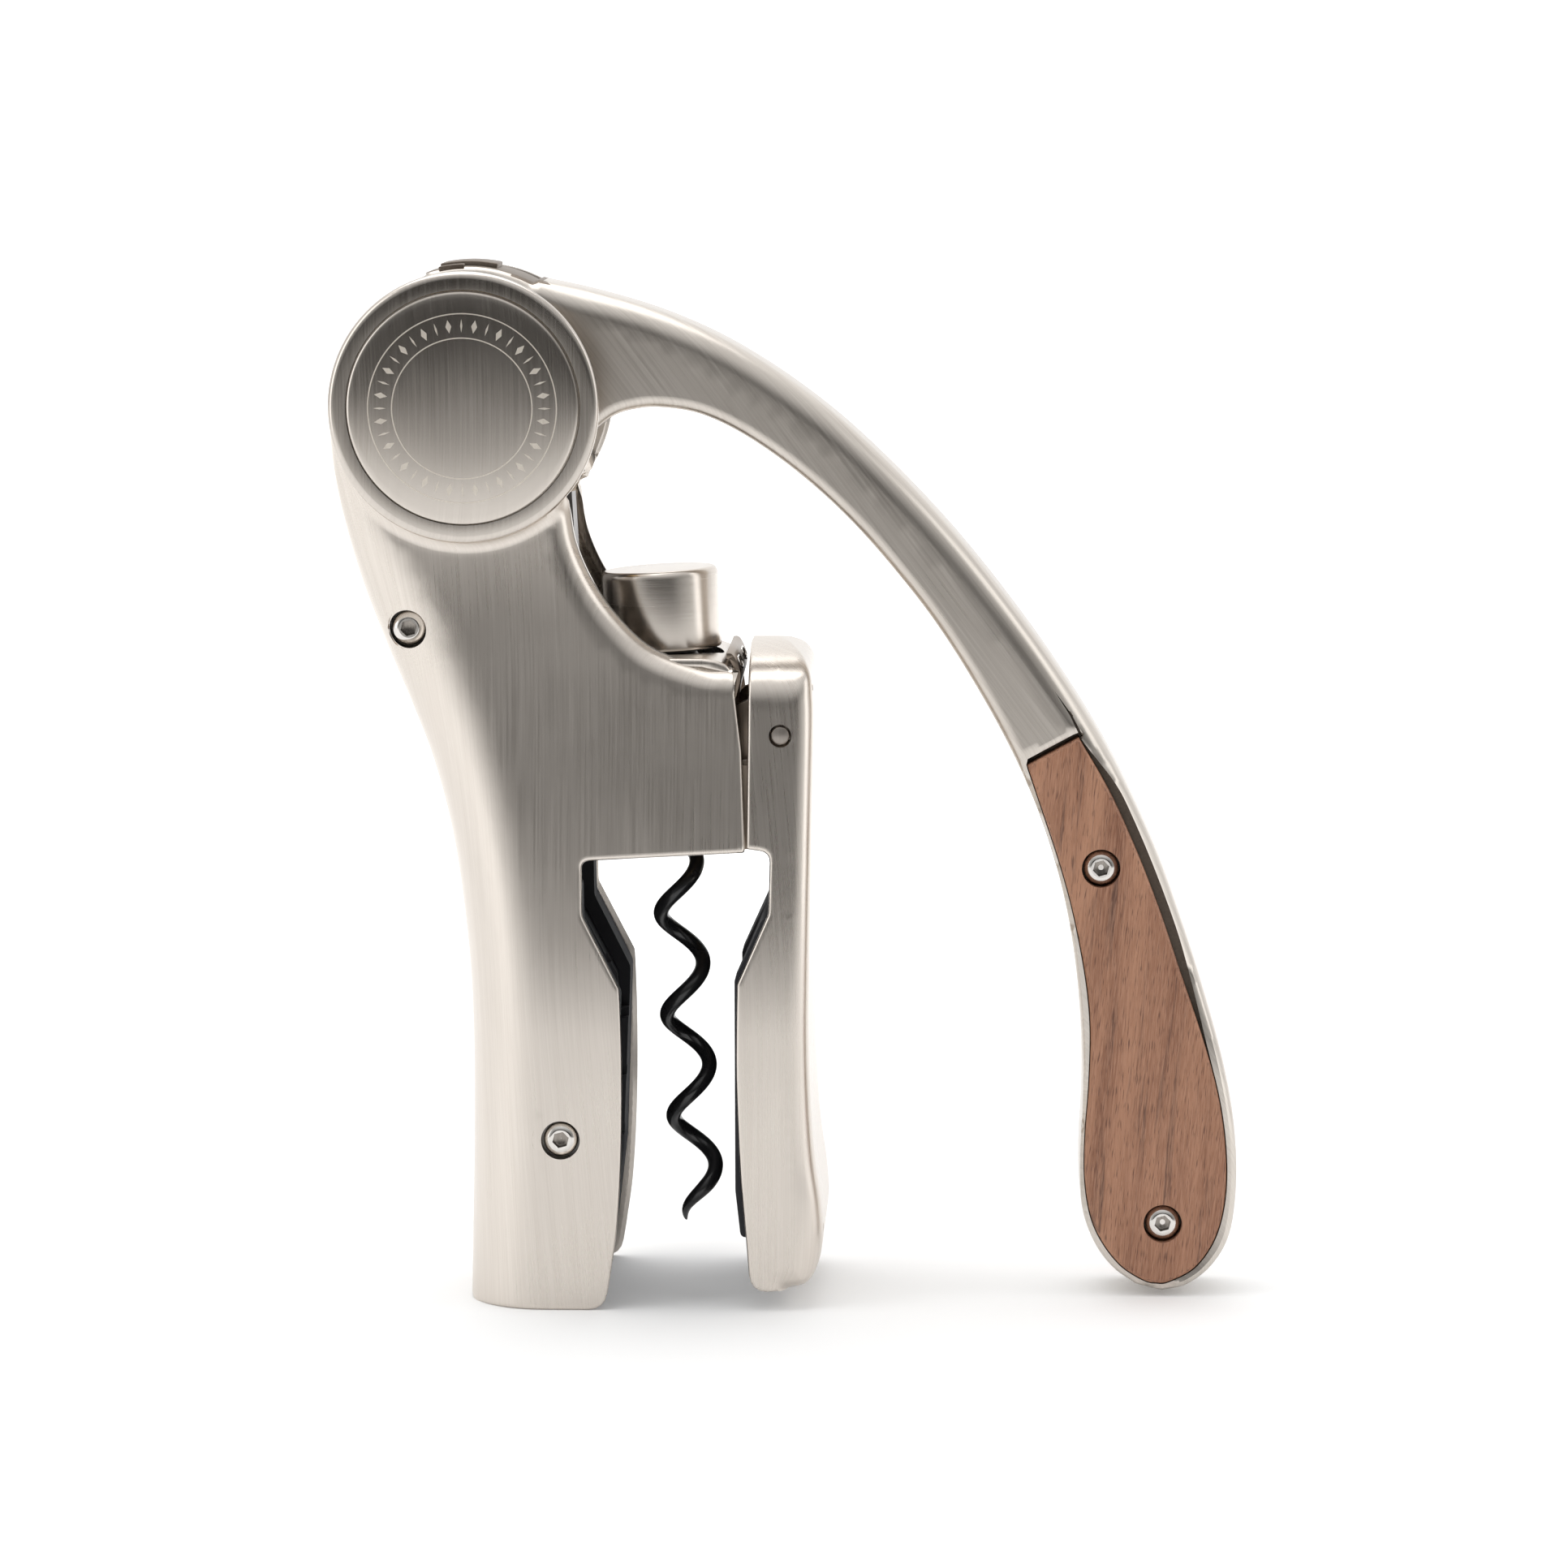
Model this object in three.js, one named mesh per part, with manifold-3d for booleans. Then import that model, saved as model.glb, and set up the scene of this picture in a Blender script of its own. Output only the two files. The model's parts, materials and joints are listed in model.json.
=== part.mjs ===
// Lever corkscrew: a two-half body with a round pivot head, a long curved lever with wood scales,
// a geared carriage that carries the worm, and a sprung grip that clamps the bottle neck.
// Millimetres. +X points from the pivot head to the lever tip, -Y is the near side, +Z is up.
import * as THREE from 'three';
import { mergeVertices } from 'three/addons/utils/BufferGeometryUtils.js';
import Module from 'manifold-3d';

const wasm = await Module();
wasm.setup();

// Driving dimensions
const HUB = { x: -52.7, z: 151 }; // lever pivot
const MIDDLE = 0.8; // the bounding box's middle along X, which is moved to the origin
const HEAD_R = 22.4; // round head of the body
const CAP_R = 19.1; // raised cap on the head
const LEG_HALF = 23; // half thickness across the legs
const HEAD_HALF = 17.8; // half thickness across the head
const FLARE_LOW = 46; // the body is full thickness below this height
const FLARE_HIGH = 127; // and as thin as the head above this one
const WALL = 1.8; // body and grip sheet thickness at the legs
const GAP = 0.3; // between neighbouring pieces
const BODY_CORNER = 13; // plan radius of the body's back corners
const GRIP_CORNER = 3.6; // plan radius of the grip's back corners
const GRIP_TOP = 111.6; // crest of the grip
const GRIP_WALL = 1.6;
const HEAD_BORE = 9.3; // radius of the hole in each head wall
const AXLE_BORE = 4.3; // radius of the holes that the main axle passes through

const TILT = THREE.MathUtils.degToRad(3.4); // worm axis from vertical
const WORM_OFFSET = 29.6; // pivot to worm axis
const WORM_PITCH = 17.5;
const WORM_R = 3.3; // helix radius to the middle of the wire
const WIRE_R = 1.3;
const WORM_TOP = -73; // along the worm axis from the pivot
const WORM_TIP = -141.6;

const MODULE = 1.5; // gear tooth size
const TEETH = 17;
const PITCH_R = (MODULE * TEETH) / 2;
const RACK_TOP = 6;
const RACK_LOW = -66;
const RACK_BACK = 16;

const LEVER_HALF = 9; // half thickness of the lever
const LEVER_BEVEL = 1.6;
const FORK_HALF = 5.4; // half width of the slot in the lever's root
const HUB_R = 20.2;
const HEAD_CLEAR_R = 21.6; // the lever is cut back to this radius round the hub
const WEB_R = 23; // web from the hub to the lever's arm, over the head
const BLOCK_R = 23.7; // raised block on the web
const FORK_R = 27.5; // reach of the slot in the lever's root
const PINION_CLEAR_R = 16.6; // room for the pinion inside the hub
const SCALE_FLOOR = 4.6; // pocket floor under each wood scale

const NECK_R = 15.2; // bottle neck space between the liners
const PIN = { x: -0.3, z: 96.6 }; // grip hinge
const PIN_BORE = 1.85;
const COIL_R = 2.5; // grip spring, round the pin
const COIL_HALF = 3.4;
const COIL_TURNS = 4.25;
const SCREW_WELL = 3.25; // radius of the recess round a button head
const BARREL_BORE = 6.5; // radius of the carriage's bore in the guide block
// The upper body screw sits deep, in the rounded back of the body.
const BODY_SCREWS = [
  { x: -62.5, z: 113.9, head: 14, sleeve: 8.5 },
  { x: -36.9, z: 28.9, head: 22.6, sleeve: 20.4 },
];
const HANDLE_SCREWS = [{ x: 53.3, z: 73.2 }, { x: 64.1, z: 12.6 }];

// Materials
const finish = (color, roughness, metalness) =>
  new THREE.MeshStandardMaterial({ color, roughness, metalness });
const nickel = finish(0xb5aca0, 0.34, 1);
const polished = finish(0xcfc9c0, 0.2, 1);
const leverSteel = finish(0xa39a8e, 0.36, 1);
const darkSteel = finish(0x6e6a66, 0.4, 1);
const walnut = finish(0x7d5238, 0.55, 0);
const liner = finish(0x3a3b3f, 0.6, 0);
const coated = finish(0x17171a, 0.35, 0.2);
const brass = finish(0xb08d4f, 0.4, 1);

// Solids
function weld(geometry) {
  const plain = geometry.clone();
  plain.deleteAttribute('normal');
  plain.deleteAttribute('uv');
  return mergeVertices(plain, 1e-4);
}

function solid(geometry) {
  const g = weld(geometry);
  const vertProperties = new Float32Array(g.attributes.position.array);
  const triVerts = new Uint32Array(g.index.array);
  let volume = 0;
  const a = new THREE.Vector3();
  const b = new THREE.Vector3();
  const c = new THREE.Vector3();
  for (let i = 0; i < triVerts.length; i += 3) {
    a.fromArray(vertProperties, triVerts[i] * 3);
    b.fromArray(vertProperties, triVerts[i + 1] * 3);
    c.fromArray(vertProperties, triVerts[i + 2] * 3);
    volume += a.dot(b.cross(c));
  }
  if (volume < 0) {
    for (let i = 0; i < triVerts.length; i += 3) {
      const kept = triVerts[i];
      triVerts[i] = triVerts[i + 1];
      triVerts[i + 1] = kept;
    }
  }
  return new wasm.Manifold(new wasm.Mesh({ numProp: 3, vertProperties, triVerts }));
}

function geometryOf(manifold) {
  const m = manifold.getMesh();
  const g = new THREE.BufferGeometry();
  g.setAttribute('position', new THREE.BufferAttribute(new Float32Array(m.vertProperties), 3));
  g.setIndex(new THREE.BufferAttribute(new Uint32Array(m.triVerts), 1));
  return g;
}

// A flat outline in X and Z, carried across from y0 to y1.
function prism(shape, y0, y1, options = {}) {
  const { bevel = 0, curve = 4, rounds = 2 } = options;
  const g = new THREE.ExtrudeGeometry(shape, {
    depth: y1 - y0 - 2 * bevel,
    bevelEnabled: bevel > 0,
    bevelSize: bevel,
    bevelThickness: bevel,
    bevelOffset: -bevel,
    bevelSegments: rounds,
    curveSegments: curve,
  });
  g.rotateX(Math.PI / 2);
  g.translate(0, y1 - bevel, 0);
  return solid(g);
}

function box(x0, x1, y0, y1, z0, z1) {
  const g = new THREE.BoxGeometry(x1 - x0, y1 - y0, z1 - z0);
  g.translate((x0 + x1) / 2, (y0 + y1) / 2, (z0 + z1) / 2);
  return solid(g);
}

// A round bar along Y at x and z.
function rod(x, z, radius, y0, y1, sides = 24) {
  const g = new THREE.CylinderGeometry(radius, radius, y1 - y0, sides);
  g.translate(x, (y0 + y1) / 2, z);
  return solid(g);
}

// A turned piece about the Y axis from [radius, y] steps; it starts and ends on the axis.
function turned(steps, x, z, sides = 24) {
  const g = new THREE.LatheGeometry(steps.map(([r, y]) => new THREE.Vector2(r, y)), sides);
  g.translate(x, 0, z);
  return solid(g);
}

// The drive frame has the pivot at its origin and Z along the worm.
function placeDrive(g) {
  g.rotateY(-TILT);
  g.translate(HUB.x, 0, HUB.z);
  return g;
}

// An upright turned piece in the drive frame, from [radius, height] steps.
function driveTurned(steps, x, sides = 28) {
  const g = new THREE.LatheGeometry(steps.map(([r, y]) => new THREE.Vector2(r, y)), sides);
  g.rotateX(Math.PI / 2);
  g.translate(x, 0, 0);
  return solid(placeDrive(g));
}

function driveRod(x, radius, z0, z1, sides = 28) {
  return driveTurned([[0, z0], [radius, z0], [radius, z1], [0, z1]], x, sides);
}

function driveBox(x0, x1, y0, y1, z0, z1) {
  const g = new THREE.BoxGeometry(x1 - x0, y1 - y0, z1 - z0);
  g.translate((x0 + x1) / 2, (y0 + y1) / 2, (z0 + z1) / 2);
  return solid(placeDrive(g));
}

function drivePrism(shape, y0, y1) {
  const g = new THREE.ExtrudeGeometry(shape, { depth: y1 - y0, bevelEnabled: false, curveSegments: 6 });
  g.rotateX(Math.PI / 2);
  g.translate(0, y1, 0);
  return solid(placeDrive(g));
}

const points = (list) => list.map(([x, z]) => new THREE.Vector2(x, z));

// Body thickness narrows smoothly from the legs to the head.
function thinning(z) {
  return 1 - (1 - HEAD_HALF / LEG_HALF) * THREE.MathUtils.smoothstep(z, FLARE_LOW, FLARE_HIGH);
}
const halfAt = (z) => LEG_HALF * thinning(z);

// Distance of the body's back edge and of the grip's back edge at each height.
const bodyBack = new THREE.SplineCurve(points([
  [-10, -53.4], [20, -52.5], [45, -52.3], [70, -54.3], [90, -58.6], [110, -66.6], [130, -73], [151, -75.1],
  [180, -75.1],
]));
const gripBack = new THREE.SplineCurve(points([
  [-8, 5.8], [8, 6.9], [24, 5.2], [38, 4.5], [70, 4.8], [120, 5.2],
]));

function backAt(curve, z) {
  const list = curve.points;
  let i = 0;
  while (i < list.length - 2 && list[i + 1].x < z) i += 1;
  let low = i / (list.length - 1);
  let high = (i + 1) / (list.length - 1);
  for (let n = 0; n < 20; n += 1) {
    const middle = (low + high) / 2;
    if (curve.getPoint(middle).x < z) low = middle;
    else high = middle;
  }
  return curve.getPoint(low).y;
}

// An upright channel whose rounded back follows a curve; side is -1 for a back on the left.
function channel(curve, side, corner, inset, z0, z1, steps, reach) {
  const half = LEG_HALF - inset;
  const r = Math.max(corner - inset, 0.5);
  const back = side * -inset;
  const plan = new THREE.Shape();
  const open = -side * reach;
  plan.moveTo(open, -half);
  plan.lineTo(back - side * r, -half);
  const middle = side < 0 ? back + r : back - r;
  if (side < 0) {
    plan.absarc(middle, -half + r, r, -Math.PI / 2, -Math.PI, true);
    plan.absarc(middle, half - r, r, Math.PI, Math.PI / 2, true);
  } else {
    plan.absarc(middle, -half + r, r, -Math.PI / 2, 0, false);
    plan.absarc(middle, half - r, r, 0, Math.PI / 2, false);
  }
  plan.lineTo(open, half);
  const g = new THREE.ExtrudeGeometry(plan, {
    depth: z1 - z0, steps, bevelEnabled: false, curveSegments: side < 0 ? 5 : 3,
  });
  g.translate(0, 0, z0);
  const p = g.attributes.position;
  for (let i = 0; i < p.count; i += 1) {
    const z = p.getZ(i);
    p.setX(i, p.getX(i) + backAt(curve, z));
    p.setY(i, p.getY(i) * thinning(z));
  }
  return solid(g);
}

// Side outline of the body: leg, carriage housing and round head. The back is cut by the channel.
function bodyOutline() {
  const s = new THREE.Shape();
  s.moveTo(-90, 0);
  s.lineTo(-32.6, 0);
  s.quadraticCurveTo(-29.4, 0.4, -28.7, 5);
  s.splineThru(points([[-27.4, 14], [-26.7, 28], [-26.6, 42], [-26.9, 53.8]]));
  s.lineTo(-33.1, 66.2);
  s.lineTo(-33.3, 74.4);
  s.quadraticCurveTo(-33.2, 75.6, -31.9, 75.7);
  s.lineTo(-6.4, 77.1);
  s.splineThru(points([[-6.7, 93.8], [-8.4, 108]]));
  s.splineThru(points([[-13.8, 108.4], [-21.8, 111.6], [-29.9, 120], [-34.2, 128.6]]));
  s.lineTo(-35.4, 136.5);
  s.absarc(HUB.x, HUB.z, HEAD_R, -0.697, Math.PI, false);
  s.lineTo(-90, HUB.z);
  return s;
}

function bodyHalf(side) {
  let half = channel(bodyBack, -1, BODY_CORNER, 0, -1, 176, 17, 78)
    .subtract(channel(bodyBack, -1, BODY_CORNER, WALL, -2, 177, 17, 79))
    .intersect(prism(bodyOutline(), -30, 30, { curve: 8 }));
  const near = side < 0;
  half = half.intersect(box(-100, 10, near ? -30 : 0.1, near ? -0.1 : 30, -5, 180));
  half = half.subtract(box(-100, -60, -9.8, 9.8, 131, 190));
  half = half.subtract(rod(HUB.x, HUB.z, HEAD_BORE, near ? -30 : 0, near ? 0 : 30, 32));
  for (const at of BODY_SCREWS) {
    half = half.subtract(rod(at.x, at.z, SCREW_WELL, near ? -30 : 5, near ? -5 : 30, 20));
  }
  return half;
}

// The ring on the head has a hollow fillet under it and a rounded outer edge.
function pivotRing(side) {
  const face = HEAD_HALF + GAP * 0.4;
  const ring = turned([
    [0, 0], [21, 0], [HEAD_R + 0.1, 1], [HEAD_R + 0.1, 1.6], [HEAD_R - 0.6, 2.2], [0, 2.2],
  ], 0, 0, 44);
  const bored = ring.subtract(rod(0, 0, HEAD_BORE, -1, 4, 24)).getMesh();
  const g = new THREE.BufferGeometry();
  g.setAttribute('position', new THREE.BufferAttribute(new Float32Array(bored.vertProperties), 3));
  g.setIndex(new THREE.BufferAttribute(new Uint32Array(bored.triVerts), 1));
  if (side < 0) g.rotateX(Math.PI);
  g.translate(HUB.x, side * face, HUB.z);
  return solid(g);
}

function pivotCap(side) {
  const y = side * (HEAD_HALF + 2.2 + GAP * 1.4);
  const steps = [[0, 0], [CAP_R, 0], [CAP_R, 0.6], [CAP_R - 0.4, 0.95], [0, 0.95]];
  return turned(steps.map(([r, h]) => [r, y + side * h]), HUB.x, HUB.z, 44);
}

// Bush between the head wall and the lever, turning surface for the hub.
function hubBush(side) {
  const y0 = LEVER_HALF + 0.4;
  const y1 = (LEG_HALF - WALL) * thinning(HUB.z) - GAP;
  const y2 = HEAD_HALF + 2.2 + GAP * 0.4;
  const steps = [[0, y0], [11.6, y0], [11.6, y1], [9, y1], [9, y2], [0, y2]];
  return turned(steps.map(([r, y]) => [r, side * y]), HUB.x, HUB.z, 24)
    .subtract(rod(HUB.x, HUB.z, AXLE_BORE, -30, 30, 20));
}

function buttonScrew(x, z, headY, length, headR, headH, shankR) {
  const steps = [
    [0, 0], [headR * 0.5, 0], [headR * 0.84, headH * 0.3], [headR, headH * 0.75], [headR, headH],
    [shankR, headH], [shankR, length], [0, length],
  ];
  const body = turned(steps.map(([r, y]) => [r, headY + y]), x, z, 18);
  return body.subtract(rod(x, z, 1.16, headY - 1, headY + 1.1, 6));
}

// A sleeve nut: the same domed head on the far side, with a short bored barrel.
function sleeveNut(x, z, headY, length, headR, headH, barrelR, boreR) {
  const steps = [
    [0, 0], [headR * 0.5, 0], [headR * 0.84, -headH * 0.3], [headR, -headH * 0.75], [headR, -headH],
    [barrelR, -headH], [barrelR, -length], [0, -length],
  ];
  return turned(steps.map(([r, y]) => [r, headY + y]), x, z, 18)
    .subtract(rod(x, z, 1.16, headY - 1.1, headY + 1, 6))
    .subtract(rod(x, z, boreR, headY - length - 1, headY - 1.6, 14));
}

function spacerSleeve(at) {
  return rod(at.x, at.z, 3.4, -at.sleeve, at.sleeve, 20).subtract(rod(at.x, at.z, 2.65, -30, 30, 16));
}

// Lever outline: from the top of the hub along the outer curve to the tip and back inside.
function leverOutline() {
  const s = new THREE.Shape();
  s.moveTo(-56.8, 172.7);
  s.lineTo(-47.9, 172.7);
  s.splineThru(points([
    [-39.9, 171.6], [-28.4, 169.3], [-14.5, 164.5], [-0.7, 156.8], [13.1, 146.6], [25.3, 133.9],
    [39.2, 116.9], [52.5, 96.4], [64.4, 71.8], [71.6, 48.3], [76.1, 30], [76.5, 18], [73.6, 7],
  ]));
  s.splineThru(points([[68.6, 2.1], [63.9, 0.8], [59.2, 1.9], [54.6, 6.2]]));
  s.splineThru(points([
    [50.6, 14], [49.8, 22.6], [50.4, 36], [49.2, 55.1], [45.6, 73.5], [38.3, 92.8], [25.4, 114.5],
    [9.6, 133], [-4.2, 144.3], [-16.2, 149.9],
  ]));
  s.splineThru(points([[-21.4, 150.6], [-26.8, 149.7], [-31.3, 146.8]]));
  s.lineTo(-36, 141);
  s.lineTo(-56.8, 150);
  return s;
}

const SCALE_INSIDE = [
  [49.4, 95.3], [40.8, 90.6], [46, 75.5], [49.9, 59.7], [51.6, 45], [51.2, 30], [51.3, 18], [54, 9.2],
  [58.3, 4.3], [63, 2.6],
];
const SCALE_OUTSIDE = [
  [68.6, 4.7], [73, 11], [74.6, 21], [73.6, 33], [70, 46.5], [65.8, 58], [60.9, 72], [55.3, 85.2],
];

// Outline of a wood scale, or of its pocket when it is grown; the pocket bulges behind the scale.
function scaleOutline(grow, bulge) {
  const list = [...SCALE_INSIDE, ...SCALE_OUTSIDE];
  const at = list.map(([x, z], i) => {
    const before = list[(i + list.length - 1) % list.length];
    const after = list[(i + 1) % list.length];
    const along = new THREE.Vector2(after[0] - before[0], after[1] - before[1]).normalize();
    const out = i >= SCALE_INSIDE.length && z > 40 ? bulge * Math.sin((Math.PI * (z - 40)) / 62) : 0;
    return [x + along.y * -(grow + out), z + along.x * (grow + out)];
  }).map(([x, z], i) => {
    const [x0, z0] = list[i];
    return [2 * x0 - x, 2 * z0 - z];
  });
  const s = new THREE.Shape();
  s.moveTo(...at[0]);
  s.lineTo(...at[1]);
  s.splineThru(points([...at.slice(2), at[0]]));
  return s;
}

function leverFrame() {
  let frame = prism(leverOutline(), -LEVER_HALF, LEVER_HALF, { bevel: LEVER_BEVEL, curve: 2, rounds: 2 })
    .subtract(rod(HUB.x, HUB.z, HEAD_CLEAR_R, -20, 20, 36))
    .add(rod(HUB.x, HUB.z, HUB_R, -LEVER_HALF, LEVER_HALF, 36));
  const web = new THREE.Shape();
  web.absarc(HUB.x, HUB.z, WEB_R, 0.08, 1.83, false);
  web.lineTo(HUB.x, HUB.z);
  const lugs = prism(web, -LEVER_HALF, LEVER_HALF, { curve: 12 });
  frame = frame.add(lugs.intersect(rod(HUB.x, HUB.z, WEB_R, -20, 20, 44)));
  const block = new THREE.Shape();
  block.absarc(HUB.x, HUB.z, BLOCK_R, 1.367, 1.779, false);
  block.lineTo(HUB.x, HUB.z + 12);
  frame = frame.add(prism(block, -FORK_HALF, FORK_HALF, { curve: 6 }));
  const slot = new THREE.Shape();
  slot.absarc(HUB.x, HUB.z, FORK_R, -1.3, 0.56, false);
  slot.lineTo(HUB.x, HUB.z);
  frame = frame.subtract(prism(slot, -FORK_HALF, FORK_HALF, { curve: 10 }));
  frame = frame.subtract(rod(HUB.x, HUB.z, PINION_CLEAR_R, -FORK_HALF, FORK_HALF, 28));
  const lower = new THREE.Shape();
  lower.absarc(HUB.x, HUB.z, FORK_R, 1.9, 2 * Math.PI - 1.3, false);
  lower.lineTo(HUB.x, HUB.z);
  frame = frame.subtract(prism(lower, -FORK_HALF, FORK_HALF, { curve: 12 }));
  frame = frame.subtract(rod(HUB.x, HUB.z, AXLE_BORE, -20, 20, 24));
  const pocket = scaleOutline(0.4, 1.1);
  for (const side of [-1, 1]) {
    const y0 = side < 0 ? -20 : SCALE_FLOOR;
    const y1 = side < 0 ? -SCALE_FLOOR : 20;
    frame = frame.subtract(prism(pocket, y0, y1, { curve: 2 }));
  }
  for (const at of HANDLE_SCREWS) {
    frame = frame.subtract(rod(at.x, at.z, 2.6, -20, 20, 20));
  }
  return frame;
}

function woodScale(side) {
  const y0 = side < 0 ? -LEVER_HALF - 0.2 : SCALE_FLOOR + GAP;
  const y1 = side < 0 ? -SCALE_FLOOR - GAP : LEVER_HALF + 0.2;
  let wood = prism(scaleOutline(0, 0), y0, y1, { bevel: 0.6, curve: 2, rounds: 1 });
  for (const at of HANDLE_SCREWS) {
    wood = wood.subtract(rod(at.x, at.z, SCREW_WELL, side < 0 ? -20 : 6.6, side < 0 ? -6.6 : 20, 24));
    wood = wood.subtract(rod(at.x, at.z, 2.6, -20, 20, 20));
  }
  return wood;
}

// Straight-flanked teeth for the pinion and the rack.
function pinion() {
  const s = new THREE.Shape();
  const tip = PITCH_R + MODULE * 0.9;
  const root = PITCH_R - MODULE * 1.2;
  const step = (2 * Math.PI) / TEETH;
  for (let i = 0; i < TEETH; i += 1) {
    const middle = (i + 0.5) * step;
    const flank = [[root, -0.36], [PITCH_R, -0.225], [tip, -0.1], [tip, 0.1], [PITCH_R, 0.225], [root, 0.36]];
    for (const [r, share] of flank) {
      const x = r * Math.cos(middle + share * step);
      const z = r * Math.sin(middle + share * step);
      if (i === 0 && share === -0.36) s.moveTo(x, z);
      else s.lineTo(x, z);
    }
  }
  return drivePrism(s, -4.8, 4.8).subtract(rod(HUB.x, HUB.z, AXLE_BORE, -20, 20, 24));
}

function rack() {
  const pitch = Math.PI * MODULE;
  const tip = PITCH_R - MODULE * 0.85;
  const root = PITCH_R + MODULE * 1.2;
  const s = new THREE.Shape();
  s.moveTo(RACK_BACK, RACK_TOP);
  s.lineTo(root, RACK_TOP);
  for (let i = 1; i > -10; i -= 1) {
    const z = i * pitch;
    s.lineTo(root, z + pitch * 0.34);
    s.lineTo(PITCH_R, z + pitch * 0.215);
    s.lineTo(tip, z + pitch * 0.11);
    s.lineTo(tip, z - pitch * 0.11);
    s.lineTo(PITCH_R, z - pitch * 0.215);
    s.lineTo(root, z - pitch * 0.34);
  }
  s.lineTo(root, RACK_LOW);
  s.lineTo(23, RACK_LOW);
  s.lineTo(23, RACK_LOW + 14);
  s.lineTo(RACK_BACK, RACK_LOW + 17);
  return drivePrism(s, -4.6, 4.6);
}

// Carriage: a barrel in the housing with a wide cap, a collar under it and the worm below.
function carriageBarrel() {
  return driveTurned([
    [0, -69.5], [5.4, -69.5], [6.1, -68.8], [6.1, -44.2], [4, -44.2], [4, -34], [0, -34],
  ], WORM_OFFSET).subtract(driveRod(WORM_OFFSET, 2.1, -75, -58, 20))
    .subtract(driveBox(20, 23.6, -4.9, 4.9, RACK_LOW - 0.4, RACK_LOW + 14.6));
}

function carriageCap() {
  const top = -29.9;
  return driveTurned([
    [0, -43.6], [9.2, -43.6], [9.7, -43.1], [9.85, -42], [9.85, top - 1], [9.6, top - 0.3],
    [9, top], [0, top],
  ], WORM_OFFSET, 36).subtract(driveRod(WORM_OFFSET, 4.3, -50, -33.6, 24));
}

function wormCollar() {
  return driveTurned([
    [0, -72.4], [4.2, -72.4], [4.2, -69.9], [0, -69.9],
  ], WORM_OFFSET, 24).subtract(driveRod(WORM_OFFSET, 2.1, -80, -60, 20));
}

class WormPath extends THREE.Curve {
  getPoint(t, target = new THREE.Vector3()) {
    const z = THREE.MathUtils.lerp(WORM_TOP, WORM_TIP + 3, t);
    const turn = ((z + 106.4) / WORM_PITCH) * 2 * Math.PI + Math.PI;
    const rise = THREE.MathUtils.smoothstep(z, WORM_TIP, WORM_TIP + 9);
    const r = WORM_R * (0.78 + 0.22 * rise) * (1 - THREE.MathUtils.smoothstep(z, WORM_TOP - 5, WORM_TOP));
    return target.set(WORM_OFFSET + r * Math.cos(turn), r * Math.sin(turn), z);
  }
}

function worm() {
  const path = new WormPath();
  const section = new THREE.Shape();
  section.absarc(0, 0, WIRE_R, 0, 2 * Math.PI, false);
  const helix = new THREE.ExtrudeGeometry(section, { steps: 66, curveSegments: 4, extrudePath: path });
  const end = path.getPoint(1);
  const along = path.getTangent(1);
  const tip = new THREE.CylinderGeometry(WIRE_R * 0.96, 0.12, 4.4, 8);
  tip.rotateX(-Math.PI / 2);
  tip.translate(0, 0, 2);
  const turn = new THREE.Quaternion().setFromUnitVectors(new THREE.Vector3(0, 0, 1), along);
  tip.applyQuaternion(turn);
  tip.translate(end.x, end.y, end.z);
  return solid(placeDrive(helix))
    .add(solid(placeDrive(tip)))
    .add(driveRod(WORM_OFFSET, 1.75, WORM_TOP - 0.8, -59, 16));
}

// Housing block between the body halves, bored for the barrel and slotted for the rack.
function guideBlock() {
  const s = new THREE.Shape();
  s.moveTo(-43, 80);
  s.lineTo(-34.4, 78.4);
  s.lineTo(-9, 79.4);
  s.lineTo(-9.4, 97);
  s.lineTo(-10.6, 106.6);
  s.lineTo(-34, 107.6);
  s.lineTo(-45, 103);
  const block = prism(s, -16.7, 16.7);
  return block
    .subtract(driveRod(WORM_OFFSET, BARREL_BORE, -69.9, -20))
    .subtract(driveRod(WORM_OFFSET, 6.8, -90, -64))
    .subtract(driveBox(10.4, WORM_OFFSET, -5, 5, RACK_LOW - 1, 20));
}

function guideBush() {
  const low = -76.3;
  return driveTurned([[0, low], [7.2, low], [7.2, low + 0.8], [6.5, low + 0.8], [6.5, -72.8], [0, -72.8]],
    WORM_OFFSET).subtract(driveRod(WORM_OFFSET, 5.05, -90, -60));
}

// Ribbed plastic saddle that fills the leg around the bottle neck.
function legLiner(side) {
  const s = new THREE.Shape();
  s.moveTo(-46, 3);
  s.lineTo(-31, 3);
  s.quadraticCurveTo(-29.4, 3.6, -29, 7);
  s.lineTo(-27.5, 22);
  s.lineTo(-27.4, 52.6);
  s.lineTo(-33.8, 65);
  s.lineTo(-34, 72);
  s.lineTo(-46, 72);
  const near = side < 0;
  let piece = prism(s, near ? -25 : 0.15, near ? -0.15 : 25)
    .intersect(channel(bodyBack, -1, BODY_CORNER, WALL + GAP, -1, 90, 9, 70))
    .subtract(driveRod(WORM_OFFSET, NECK_R, -160, -88.5, 28));
  for (let z = -138; z < -92; z += 10) {
    piece = piece.subtract(driveRod(WORM_OFFSET, NECK_R + 1.3, z, z + 1.6, 28));
  }
  const at = BODY_SCREWS[1];
  return piece.subtract(rod(at.x, at.z, 3.8, -30, 30, 20));
}

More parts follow.
